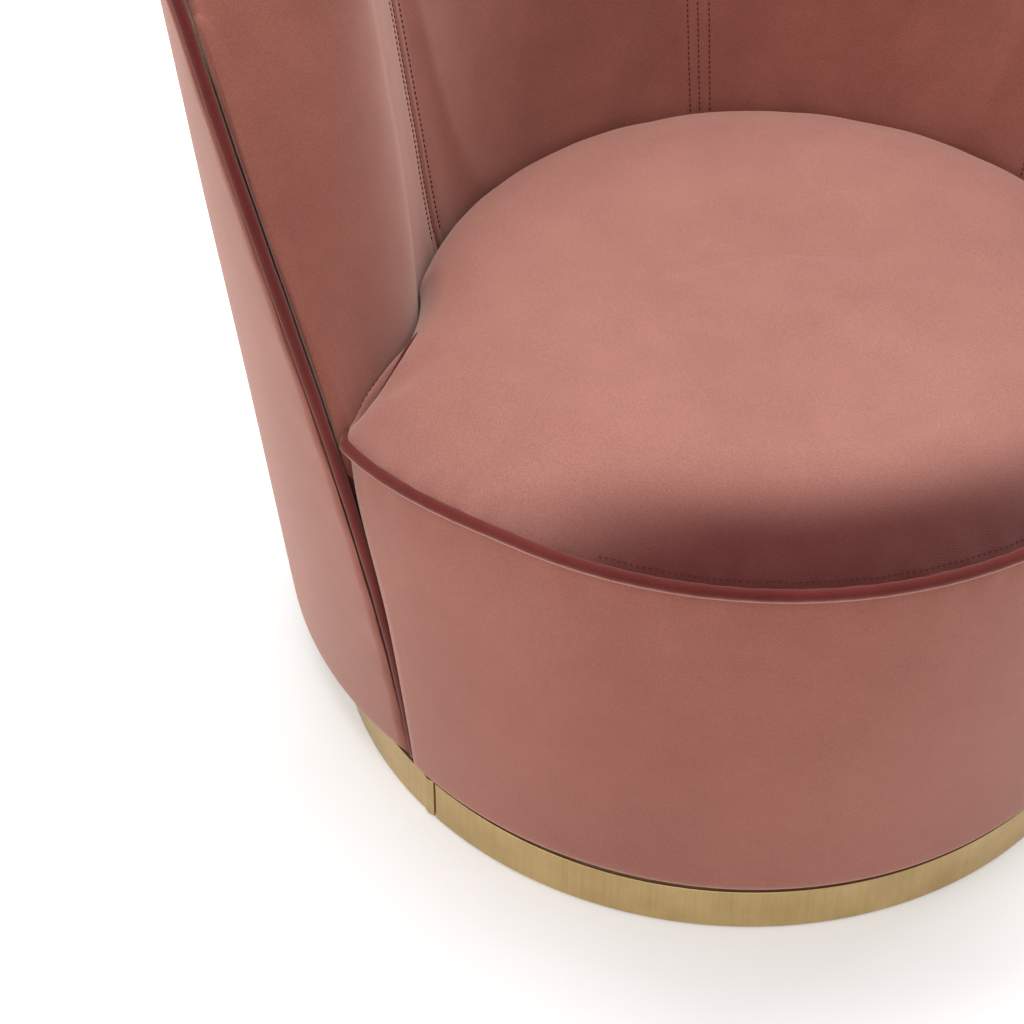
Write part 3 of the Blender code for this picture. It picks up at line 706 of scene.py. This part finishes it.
def make_inner_pad():
    """The deep pad of the back and arms: four velvet panels over foam, sewn at three seams."""
    nose = [NOSE_REACH * share for share in (0.12, 0.35, 0.6, 0.8, 0.93, 1.0)]
    places = [(-1.0, d) for d in reversed(nose)]
    places += [(s, 0.0) for s in pad_stations()]
    places += [(1.0, d) for d in nose]
    loops = [pad_loop(s, forward) for s, forward in places]
    pad = skin("back_cushion", loops)
    share_at = {}
    for (s, _), loop in zip(places, loops):
        for p in loop:
            share_at[tuple(round(c, 5) for c in p)] = s
    centre = Vector((0.0, AXIS_Y + SHELL_CENTRE_Y, 0.0))

    def share_of(co):
        return share_at.get(tuple(round(c, 5) for c in co), 1.0)

    def behind(co, slack):
        reach = (Vector((co.x, co.y, 0.0)) - centre).length
        return reach > shell_radius(co.z) - PAD_DEPTH - slack

    def free(co):
        s = share_of(co)
        if behind(co, 0.006) or abs(s) > 0.97 or co.z < PAD_BOTTOM + 0.06:
            return 0.0
        return ease((seam_distance(s) - 0.006) / 0.030)

    inflate(pad, free, 3.0, 0.006, 60)
    seams = [(seam, [wall_point(seam, PAD_BOTTOM + 0.012 * k) for k in range(40)])
             for seam in SEAMS]

    def away_from_seam(co):
        """Distance along the wall to the nearest seam line at the same height."""
        best = 1.0
        for seam, line in seams:
            k = min(len(line) - 2, max(0, int((co.z - PAD_BOTTOM) / 0.012)))
            share = (co.z - PAD_BOTTOM) / 0.012 - k
            spot = line[k].lerp(line[k + 1], share)
            best = min(best, (Vector((spot.x, spot.y)) - Vector((co.x, co.y))).length)
        return best

    def shift(co, normal):
        if behind(co, 0.008):
            return Vector()
        away = away_from_seam(co)
        sink = 0.0016 * bump(away, 0.0020) + 0.0016 * bump(away, 0.012)
        sink += 0.0004 * bump(abs(away - STITCH_OFFSET), 0.0014)
        soft = noise.noise(co * 8.0) * 0.0012 + noise.noise(co * 27.0) * 0.0004
        return normal * (soft - sink)

    move_points(pad, shift)
    return dress(pad, ROSE, "chair", "velvet", "back_pad")


inner_pad = make_inner_pad()


def snap_to(piece, points):
    """Drop points onto a piece's surface, looking outwards from the seat's middle."""
    hits = []
    for p in points:
        middle = Vector((0.0, AXIS_Y + WALL_CENTRE_Y, p.z))
        ray = (p - middle).normalized()
        hit, spot, _, _ = piece.ray_cast(middle, ray)
        hits.append(spot if hit else p)
    return hits


def make_back_stitching():
    """Each seam of the back, with a row of topstitching on both sides of it."""
    low = CUSHION_BOTTOM + 0.022  # just above the seat's rear edge

    def inwards(p):
        return Vector((-p.x, AXIS_Y + WALL_CENTRE_Y - p.y, 0.0)).normalized()

    for index, seam in enumerate(SEAMS):
        for side, label in ((-1, "left"), (0, "seam"), (1, "right")):
            s = seam + side * STITCH_OFFSET / METRES_PER_SHARE
            top = rim_height(s) - PAD_ROUND * 0.55
            line = [wall_point(s, blend(low, top, k / 60)) for k in range(61)]
            line = snap_to(inner_pad, line)
            row = stitch_row(f"back_stitches_{index + 1}_{label}", line, inwards)
            dress(row, THREAD, "chair", "velvet_welt")


make_back_stitching()


TURN_UNDER = 0.010  # radius of the outer cover's lower edge


def make_outer_panel():
    """The shell's outer cover: pulled round the bottom edge, faintly rippled at the welt."""
    loops = []
    count = 150
    start = SHELL_BOTTOM + TURN_UNDER
    for k in range(count + 1):
        s = -1.0 + 2.0 * k / count
        top = rim_height(s)
        outer, inner = [], []
        for i in range(8):
            turn = math.pi / 2 * i / 8
            z = SHELL_BOTTOM + TURN_UNDER * (1.0 - math.sin(turn))
            outer.append(shell_point(s, z, 0.009 * (1.0 - math.cos(turn))))
        outer.reverse()
        for i in range(1, 49):
            outer.append(shell_point(s, blend(start, top - 0.003, i / 48), 0.0))
        outer.append(shell_point(s, top, 0.003))
        for i in range(16):
            z = blend(top, SHELL_BOTTOM, i / 15)
            inner.append(shell_point(s, z, COVER_THICKNESS))
        loops.append(outer + inner)
    panel = skin("outer_panel", loops)
    centre = Vector((0.0, AXIS_Y + SHELL_CENTRE_Y, 0.0))

    def shift(co, normal):
        flat = Vector((co.x, co.y, 0.0)) - centre
        if flat.length < shell_radius(co.z) - 0.006:
            return Vector()
        out = flat.normalized()
        from_edge = (shell_edge_angle(co.z) - abs(math.atan2(flat.x, flat.y))) * 0.42
        near = bump(from_edge, 0.022)
        ripple = 0.0007 * math.sin(co.z * 95.0 + 4.0 * noise.noise(co * 6.0)) * near
        tuck = 0.0006 * bump(from_edge, 0.0020)
        return out * (noise.noise(co * 5.0) * 0.0010 + ripple - tuck)

    move_points(panel, shift)
    return dress(panel, ROSE, "chair", "velvet", "outer_cover")


make_outer_panel()


FRONT_LOWER_ROUND, FRONT_UPPER_ROUND = 0.011, 0.007
FRONT_REACH_DEG = (0.6, 1.9)  # how far its sides pass the drum, low and high


def make_front_panel():
    """The padded border round the drum's front."""
    loops = []
    count = 120
    for k in range(count + 1):
        share = -1.0 + 2.0 * k / count
        past = max(0.0, (abs(share) - 0.985) / 0.015)
        soft = 0.006 * (1.0 - math.sqrt(max(0.0, 1.0 - past ** 2)))
        outer, inner = [], []
        for i in range(7):
            turn = math.pi / 2 * i / 7
            z = SHELL_BOTTOM + FRONT_LOWER_ROUND * (1.0 - math.sin(turn))
            outer.append((z, 0.010 * (1.0 - math.cos(turn))))
        outer.reverse()
        for i in range(1, 41):
            outer.append((blend(SHELL_BOTTOM + FRONT_LOWER_ROUND, FRONT_TOP - FRONT_UPPER_ROUND,
                                i / 40), 0.0))
        for i in range(1, 6):
            turn = math.pi / 2 * i / 5
            z = FRONT_TOP - FRONT_UPPER_ROUND + FRONT_UPPER_ROUND * math.sin(turn)
            outer.append((z, 0.008 * (1.0 - math.cos(turn))))
        for i in range(10):
            inner.append((blend(FRONT_TOP, SHELL_BOTTOM, i / 9), FRONT_PAD))
        loop = []
        for z, depth in outer + inner:
            edge = front_edge(z) + blend(*FRONT_REACH_DEG, ease((z - 0.22) / 0.15))
            loop.append(front_point(edge * share, z, min(FRONT_PAD, depth + soft)))
        loops.append(loop)
    panel = skin("front_panel", loops)

    def shift(co, normal):
        out = Vector((co.x, co.y - AXIS_Y, 0.0)).normalized()
        if normal.dot(out) < 0.3:
            return Vector()
        height = (co.z - SHELL_BOTTOM) / (FRONT_TOP - SHELL_BOTTOM)
        puff = 0.0025 * math.sin(math.pi * min(1.0, max(0.0, height)))
        under = bump(FRONT_TOP - co.z, 0.030)
        angle = math.atan2(co.x, -(co.y - AXIS_Y))
        pull = 0.0008 * math.sin(angle * 55.0 + 5.0 * noise.noise(co * 8.0)) * under
        return out * (puff + pull + noise.noise(co * 7.0) * 0.0010 - 0.0015 * under)

    move_points(panel, shift)
    return dress(panel, ROSE_FRONT, "chair", "velvet", "front_border")


make_front_panel()


def seat_outline(wall_share, front_depth, z, count):
    """Plan of the seat: the inner wall behind, the drum front ahead, evenly stepped."""
    middle = Vector((0.0, AXIS_Y + WALL_CENTRE_Y, z))
    loop = []
    for k in range(121):
        p = wall_point(wall_share * (-1.0 + 2.0 * k / 120), z)
        loop.append(p + (middle - p).normalized() * SEAT_CLEARANCE)
    edge = front_edge(z) - 0.4
    for k in range(81):
        loop.append(front_point(edge * (1.0 - 2.0 * k / 80), z, front_depth))
    loop.append(loop[0])
    return resample(loop, sum((b - a).length for a, b in zip(loop, loop[1:])) / count)[:-1]


def nearest(points):
    """A function giving the distance in plan to a dense row of points."""
    tree = KDTree(len(points))
    for k, p in enumerate(points):
        tree.insert((p.x, p.y, 0.0), k)
    tree.balance()
    return lambda co: tree.find((co.x, co.y, 0.0))[2]


def dome(distance, width):
    """Quarter-ellipse rise from an edge, reaching 1 at the given width."""
    share = min(1.0, distance / width)
    return math.sqrt(max(0.0, 1.0 - (1.0 - share) ** 2))


def roll(distance, width):
    """Rise from the welt: steep but not upright at first, flat at the given width."""
    return 1.0 - (1.0 - min(1.0, distance / width)) ** 2.3


TUCK_INNER, TUCK_OUTER = 0.286, 0.340  # how far out from the middle a tuck runs
TUCK_REAR = -0.035  # and how far back
RIDGE_PLACE, CREASE_PLACE = 0.0035, 0.0108  # distances from the wall
RIDGE_HEIGHT, CREASE_FALL = 0.0050, 0.0075


def tuck_height(co, away):
    """Rise and fall of the fold where the seat's cover turns in beside each arm; away is the
    distance to the wall."""
    along = (abs(co.x) - TUCK_INNER) / (TUCK_OUTER - TUCK_INNER)
    fade = ease(along / 0.45) * ease((1.08 - along) / 0.16)
    fade *= ease((AXIS_Y + TUCK_REAR - co.y) / 0.015)
    return fade * (RIDGE_HEIGHT * bump(away - RIDGE_PLACE, 0.0030)
                   - CREASE_FALL * bump(away - CREASE_PLACE, 0.0030))


def edit_faces(piece, edit):
    bm = bmesh.new()
    bm.from_mesh(piece.data)
    edit(bm)
    bm.to_mesh(piece.data)
    bm.free()
    piece.data.shade_smooth()


def refine_tucks(bm):
    """Finer faces round the two tucks, so that they keep their shape."""
    def close(co):
        return TUCK_INNER - 0.025 < abs(co.x) and AXIS_Y - 0.135 < co.y < AXIS_Y + TUCK_REAR

    edges = [e for e in bm.edges if close(e.verts[0].co) and close(e.verts[1].co)]
    bmesh.ops.subdivide_edges(bm, edges=edges, cuts=2, use_grid_fill=True)


def close_crown(bm):
    """Fan the small last ring, so that the crown's middle shades evenly."""
    bmesh.ops.poke(bm, faces=[f for f in bm.faces if len(f.verts) > 4])


def make_tucks():
    """The inner fold of each tuck, a thin cord of the dark velvet lying in its crease as painted
    shade, and the small stitches by it.
    """
    mesh = seat.data
    surface = BVHTree.FromPolygons([v.co for v in mesh.vertices],
                                   [f.vertices for f in mesh.polygons])
    middle = Vector((0.0, AXIS_Y + WALL_CENTRE_Y, CUSHION_BOTTOM))
    for side, label in ((-1.0, "left"), (1.0, "right")):
        crease, ridge = [], []
        for k in range(41):
            s = side * blend(0.985, 0.845, k / 40)
            here = wall_point(s, CUSHION_BOTTOM)
            along = wall_point(s + 0.004, CUSHION_BOTTOM) - here
            inwards = Vector((-along.y, along.x, 0.0)).normalized()
            if inwards.dot(middle - here) < 0.0:
                inwards = -inwards
            for row, place in ((crease, CREASE_PLACE), (ridge, RIDGE_PLACE)):
                top = here + inwards * place + Vector((0.0, 0.0, 0.15))
                spot = surface.ray_cast(top, Vector((0.0, 0.0, -1.0)))[0]
                if spot:
                    row.append(spot)
        # a dark cord along the crease: painted shade
        cord = tube(f"seat_tuck_{label}", crease,
                    lambda share: 0.0004 + 0.0020 * math.sin(math.pi * share) ** 0.6, 10)
        dress(cord, ROSE_WELT_SHADED, "chair", "velvet_welt")
        row = stitch_row(f"tuck_stitches_{label}", ridge[:14], lambda p: Vector((0, 0, 1)),
                         length=0.0028, radius=0.0004)
        dress(row, THREAD, "chair", "velvet_welt")


SEAT_MIDDLE_Y = -0.03
SEAT_ROLL, SEAT_TURN = 0.072, 0.022  # widths of its front roll and its rear turn
SEAT_CROWN = 0.006


def make_seat():
    """The tight seat: crowned, with a full roll over its front edge, tucked in behind."""
    low = CUSHION_BOTTOM - 0.0040  # the edge sits down onto the welt
    outline = seat_outline(1.0, 0.0002, CUSHION_BOTTOM + 0.004, 460)
    middle = Vector((0.0, AXIS_Y + SEAT_MIDDLE_Y, 0.0))
    wall_line = resample([wall_point(-0.995 + 1.99 * k / 200, CUSHION_BOTTOM) for k in range(201)],
                         0.002)
    edge = front_edge(CUSHION_BOTTOM)
    front_line = [wall_point(-1.0, CUSHION_BOTTOM)]
    front_line += [front_point(edge * (-1.0 + 2.0 * k / 120), CUSHION_BOTTOM, 0.0)
                   for k in range(121)]
    front_line.append(wall_point(1.0, CUSHION_BOTTOM))
    to_wall, to_front = nearest(wall_line), nearest(resample(front_line, 0.002))

    def height(co):
        rise = roll(to_front(co), SEAT_ROLL) * dome(to_wall(co), SEAT_TURN)
        crown = SEAT_CROWN * max(0.0, 1.0 - ((co - middle).length / 0.34) ** 2)
        return low + (CUSHION_TOP - SEAT_CROWN - low) * rise + crown

    def ring(step, share=0.0):
        points = []
        for p in outline:
            flat = Vector((p.x, p.y, 0.0))
            flat += (middle - flat).normalized() * step
            points.append(flat.lerp(middle, share))
        return points

    loops = [[Vector((p.x, p.y, CUSHION_BOTTOM)) for p in ring(0.016)],
             [Vector((p.x, p.y, low - 0.0005)) for p in ring(0.004)]]
    steps = [0.084 * (1.0 - math.cos(math.pi / 2 * k / 20)) for k in range(21)]
    for step in steps:
        loops.append([Vector((p.x, p.y, height(p))) for p in ring(step)])
    for k in range(1, 26):
        loops.append([Vector((p.x, p.y, height(p))) for p in ring(steps[-1], k / 25.5)])
    seat = skin("seat_top", loops)
    edit_faces(seat, close_crown)

    def free(co):
        return ease((co.z - low - 0.012) / 0.020)

    inflate(seat, free, 2.0, 0.005, 24)
    edit_faces(seat, refine_tucks)

    def shift(co, normal):
        soft = noise.noise(co * 6.0) * 0.0016 + noise.noise(co * 21.0) * 0.0005
        near_welt = bump(co.z - low, 0.014) * ease((AXIS_Y - 0.02 - co.y) / 0.1)
        angle = math.atan2(co.x, -(co.y - AXIS_Y))
        pull = 0.0005 * math.sin(angle * 75.0 + 6.0 * noise.noise(co * 9.0)) * near_welt
        loose = ease((co.z - low) / 0.012)
        fold = tuck_height(co, to_wall(co)) * loose
        return normal * (soft * loose + pull) + Vector((0.0, 0.0, fold))

    move_points(seat, shift)
    # the seat's velvet is a paler lit copy, with painted shade over its front roll
    return dress(seat, ROSE_SEAT_LIT, "chair", "velvet", "seat_cushion")


seat = make_seat()
make_tucks()


WELT_DEPTH = 0.0060  # shell welt's middle, in from the outer face
WELT_HEIGHT = 0.3975  # seat welt's middle, above the floor
STITCHED_DEG = 31.0  # the topstitching shows this far round the front


def make_welts():
    """Velvet-covered cord under the seat's front edge and along the shell's edge."""
    reach = front_edge(0.398) - 0.2
    line = [front_point(reach * (-1.0 + 2.0 * k / 160), WELT_HEIGHT, -0.0025) for k in range(161)]

    def tuck(end):
        return [Vector((end.x * (1.0 - 0.55 * d), end.y + d, end.z - 9.0 * d * d))
                for d in (0.004, 0.008, 0.012, 0.016, 0.020)]

    line = tuck(line[0])[::-1] + line + tuck(line[-1])

    def cord_size(share):
        return WELT_RADIUS * (1.0 + 0.03 * math.sin(share * 260.0) + 0.02 * math.sin(share * 91.0))

    # the seat welt's dark velvet is painted shade
    welt = tube("seat_welt_cord", line, cord_size)
    dress(welt, ROSE_WELT_SHADED, "chair", "velvet_welt", "seat_welt")
    # the seam fold under the welt, in the paler velvet: a painted highlight along the welt's lower
    # edge
    under = [front_point(reach * (-1.0 + 2.0 * k / 160), WELT_HEIGHT - 0.0038, -0.0046)
             for k in range(161)]
    fold = tube("seat_welt_fold", under, 0.0014, 10)
    dress(fold, ROSE_PALE_HIGHLIGHT, "chair", "velvet_welt")

    corner = rim_height(1.0)
    steps = [(-1.0, blend(SHELL_BOTTOM + 0.001, corner, k / 60)) for k in range(61)]
    steps += [(-1.0 + 2.0 * k / 200, rim_height(-1.0 + 2.0 * k / 200)) for k in range(1, 200)]
    steps += [(1.0, blend(corner, SHELL_BOTTOM + 0.001, k / 60)) for k in range(61)]
    middle = resample([shell_point(s, z, WELT_DEPTH) for s, z in steps], 0.006)
    path = []
    for i, p in enumerate(middle):
        along = (middle[min(i + 1, len(middle) - 1)] - middle[max(i - 1, 0)]).normalized()
        face = Vector((p.x, p.y - AXIS_Y - SHELL_CENTRE_Y, 0.0)).normalized()
        path.append(p + along.cross(face).normalized() * (WELT_RADIUS - 0.0012))
    # the shell welt's dark velvet is painted shade
    welt = tube("shell_welt_cord", path, cord_size)
    dress(welt, ROSE_WELT_SHADED, "chair", "velvet_welt", "shell_welt")

    def outwards(p):
        return Vector((p.x, p.y - AXIS_Y, 0.5 * WELT_RADIUS)).normalized()

    row = []
    for k in range(241):
        start = front_point(STITCHED_DEG * (-1.0 + 2.0 * k / 240), CUSHION_BOTTOM + 0.0016, -0.05)
        back = Vector((-start.x, AXIS_Y - start.y, 0.0)).normalized()
        hit, spot, _, _ = seat.ray_cast(start, back)
        if hit:
            row.append(spot)
    stitches = stitch_row("seat_stitches", row, outwards, length=0.0030, radius=0.0005)
    dress(stitches, THREAD, "chair", "velvet_welt")


def make_flange():
    """The welt's seam allowance, tacked down over the board's raw front edge."""
    for side, label in ((-1.0, "left"), (1.0, "right")):
        loops = []
        for k in range(41):
            z = blend(SHELL_BOTTOM + 0.002, CUSHION_BOTTOM + 0.004, k / 40)
            turn = shell_radius(z) * shell_edge_angle(z)
            loops.append([shell_point(side * (1.0 + d / turn), z, depth)
                          for d, depth in ((0.0005, 0.0080), (0.0005, 0.0230), (0.0018, 0.0226),
                                           (0.0018, 0.0080))])
        strip = skin(f"shell_flange_{label}", loops)
        # the flange's dark velvet is painted shade
        dress(strip, ROSE_WELT_SHADED, "chair", "velvet_welt")


make_welts()
make_flange()


# ---- plinth, frame and mechanism ----
BAND_THICKNESS, BAND_BEVEL, BAND_GAP_DEG = 0.0015, 0.0004, 0.22
HEM_WIDTH, HEM_ROUND, HEM_PROUD = 0.009, 0.0035, 0.0017


def make_band():
    """The brass strip: one end is folded back on itself, and the other stops just short of it."""
    low, high = BAND_LOW.z, BAND_HIGH.z
    girth = math.tau * PLINTH_RADIUS
    inner = PLINTH_RADIUS - BAND_THICKNESS
    count = 360
    loops = []
    for k in range(count + 1):
        share = k / count
        turn = math.radians(BAND_JOINT_DEG + BAND_GAP_DEG + (360.0 - 2 * BAND_GAP_DEG) * share)
        outer = PLINTH_RADIUS
        edge = (1.0 - share) * girth
        if edge < HEM_WIDTH:
            past = max(0.0, (HEM_ROUND - edge) / HEM_ROUND)
            outer += HEM_PROUD * math.sqrt(max(0.0, 1.0 - past ** 2)) \
                * ease((HEM_WIDTH - edge) / 0.002)
        top = high - 0.0006 * bump(share * girth, 0.02)
        profile = [(inner, low), (outer - BAND_BEVEL, low), (outer, low + BAND_BEVEL),
                   (outer, top - BAND_BEVEL), (outer - BAND_BEVEL, top), (inner, top)]
        loops.append([Vector((r * math.sin(turn), AXIS_Y - r * math.cos(turn), z))
                      for r, z in profile])
    band = skin("plinth_strip", loops)
    band.data.set_sharp_from_angle(angle=math.radians(40))
    return dress(band, BRASS, "base", "brass", "brass_band")


make_band()


SPRING_WAVES, SPRING_SWAY = 7, 0.022


def make_springs():
    """Round wire in place of each faceted seat spring."""
    count = SPRING_WAVES * 16
    for k in range(1, 5):
        name = f"seat_spring_{k}"
        low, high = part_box(name)
        x, z = (low.x + high.x) / 2, (low.z + high.z) / 2
        radius = (high.z - low.z) / 2
        points = []
        for i in range(count + 1):
            share = i / count
            sway = SPRING_SWAY * math.sin(math.tau * SPRING_WAVES * share)
            sway *= min(1.0, 12 * share * (1 - share))
            points.append((x + sway, blend(low.y, high.y, share), z))
        wire = tube(f"spring_wire_{k}", points, radius, 8)
        dress(wire, SPRING, "chair", "spring_steel", name)


make_springs()


def make_foam():
    """The seat's foam core, cut to the well and slightly eased at its edges."""
    low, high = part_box("seat_foam")
    loops = []
    for share, ease_in in ((0.0, 0.006), (0.03, 0.002), (0.5, 0.0), (0.97, 0.002), (1.0, 0.006)):
        z = blend(low.z, high.z, share)
        outline = seat_outline(0.92, 0.0276, z, 200)
        middle = Vector((0.0, AXIS_Y + SEAT_MIDDLE_Y, z))
        loops.append([p + (middle - p).normalized() * (ease_in + 0.0015) for p in outline])
    block = skin("seat_foam_block", loops)
    dress(block, FOAM, "chair", "foam", "seat_foam")


make_foam()


def make_dust_cover():
    """The black dust cloth tacked flat under the body, sagging a little between its tacks: a
    strip of cloth taken round the hole."""
    bm = bmesh.new()
    bm.from_mesh(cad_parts["dust_cover"].data)
    bmesh.ops.delete(bm, geom=[f for f in bm.faces if f.normal.z > -0.5], context="FACES")
    bmesh.ops.remove_doubles(bm, verts=bm.verts, dist=0.00001)
    edges = [e for e in bm.edges if e.calc_length() > 0.03]
    bmesh.ops.subdivide_edges(bm, edges=edges, cuts=3, use_grid_fill=True)
    bmesh.ops.triangulate(bm, faces=bm.faces)
    sewn = {v.index for v in bm.verts if v.is_boundary}
    area = sum(f.calc_area() for f in bm.faces)
    for v in bm.verts:
        if v.index not in sewn:
            v.co.z -= 0.0004 + 0.0004 * noise.noise(v.co * 14.0)
    bm.normal_update()
    cloth = take_bmesh("dust_cloth", bm)
    dress(cloth, CAMBRIC, "chair", "lining", "dust_cover")


make_dust_cover()

CARRIED = {
    "glide_": NYLON, "plinth_": BIRCH, "bearing_": ZINC, "ball_ring": ZINC, "upper_pin": ZINC,
    "lower_pin": ZINC, "bracket_": BLACK, "cross_bar": BLACK, "link_": BLACK,
    "carriage_rail": BLACK, "base_ring_board": BIRCH, "seat_frame": BIRCH, "shell_board": BIRCH,
    "front_board": BIRCH, "post_": BEECH,
}
for node_name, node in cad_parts.items():
    for start, look in CARRIED.items():
        if node_name.startswith(start):
            node.data.materials.clear()
            node.data.materials.append(look)


# ---- studio ----
FLOOR_HALF = 8.0
WORLD_STRENGTH = 0.64
LIGHTS = (  # name, place, target, size, watts
    ("rear_right", (2.2, 1.2, 2.3), (-0.3, -0.1, 0.6), (1.4, 1.4), 26),
    ("key_left", (-2.4, -1.4, 2.6), (0.0, 0.0, 0.4), (2.0, 2.0), 24),
    ("overhead", (-0.2, 0.9, 3.0), (0.0, 0.0, 0.4), (2.6, 1.8), 80),
    ("fill_front", (-0.6, -3.4, 1.9), (0.0, 0.0, 0.3), (2.4, 1.6), 18),
)
CAMERA_PLACE = (-0.422, AXIS_Y - 1.460, 1.544)  # solved from the photo's plinth and seat curves
CAMERA_TURN_DEG = (47.0, 0.0, -8.7)
CAMERA_LENS = 80.9


def make_studio():
    """White floor, four soft lights, a white world and the photo's camera."""
    size = FLOOR_HALF
    mesh = bpy.data.meshes.new("floor")
    mesh.from_pydata([(-size, -size, 0), (size, -size, 0), (size, size, 0), (-size, size, 0)], [],
                     [(0, 1, 2, 3)])
    floor = add_object("floor", mesh)
    floor.data.materials.append(floor_material("floor_white"))

    for name, place, target, (width, depth), watts in LIGHTS:
        data = bpy.data.lights.new(name, "AREA")
        data.shape = "RECTANGLE"
        data.size, data.size_y = width, depth
        data.energy = watts
        lamp = add_object(name, data)
        lamp.location = place
        aim = Vector(target) - Vector(place)
        lamp.rotation_euler = aim.to_track_quat("-Z", "Y").to_euler()

    world = bpy.data.worlds.new("studio")
    bpy.context.scene.world = world
    world.use_nodes = True
    background = world.node_tree.nodes["Background"]
    background.inputs["Color"].default_value = (1, 1, 1, 1)
    background.inputs["Strength"].default_value = WORLD_STRENGTH

    camera = add_object("camera", bpy.data.cameras.new("camera"))
    camera.data.lens = CAMERA_LENS
    camera.data.sensor_width = 36.0
    camera.location = CAMERA_PLACE
    camera.rotation_euler = [math.radians(turn) for turn in CAMERA_TURN_DEG]
    bpy.context.scene.camera = camera
    bpy.context.scene.view_settings.view_transform = "Standard"


make_studio()
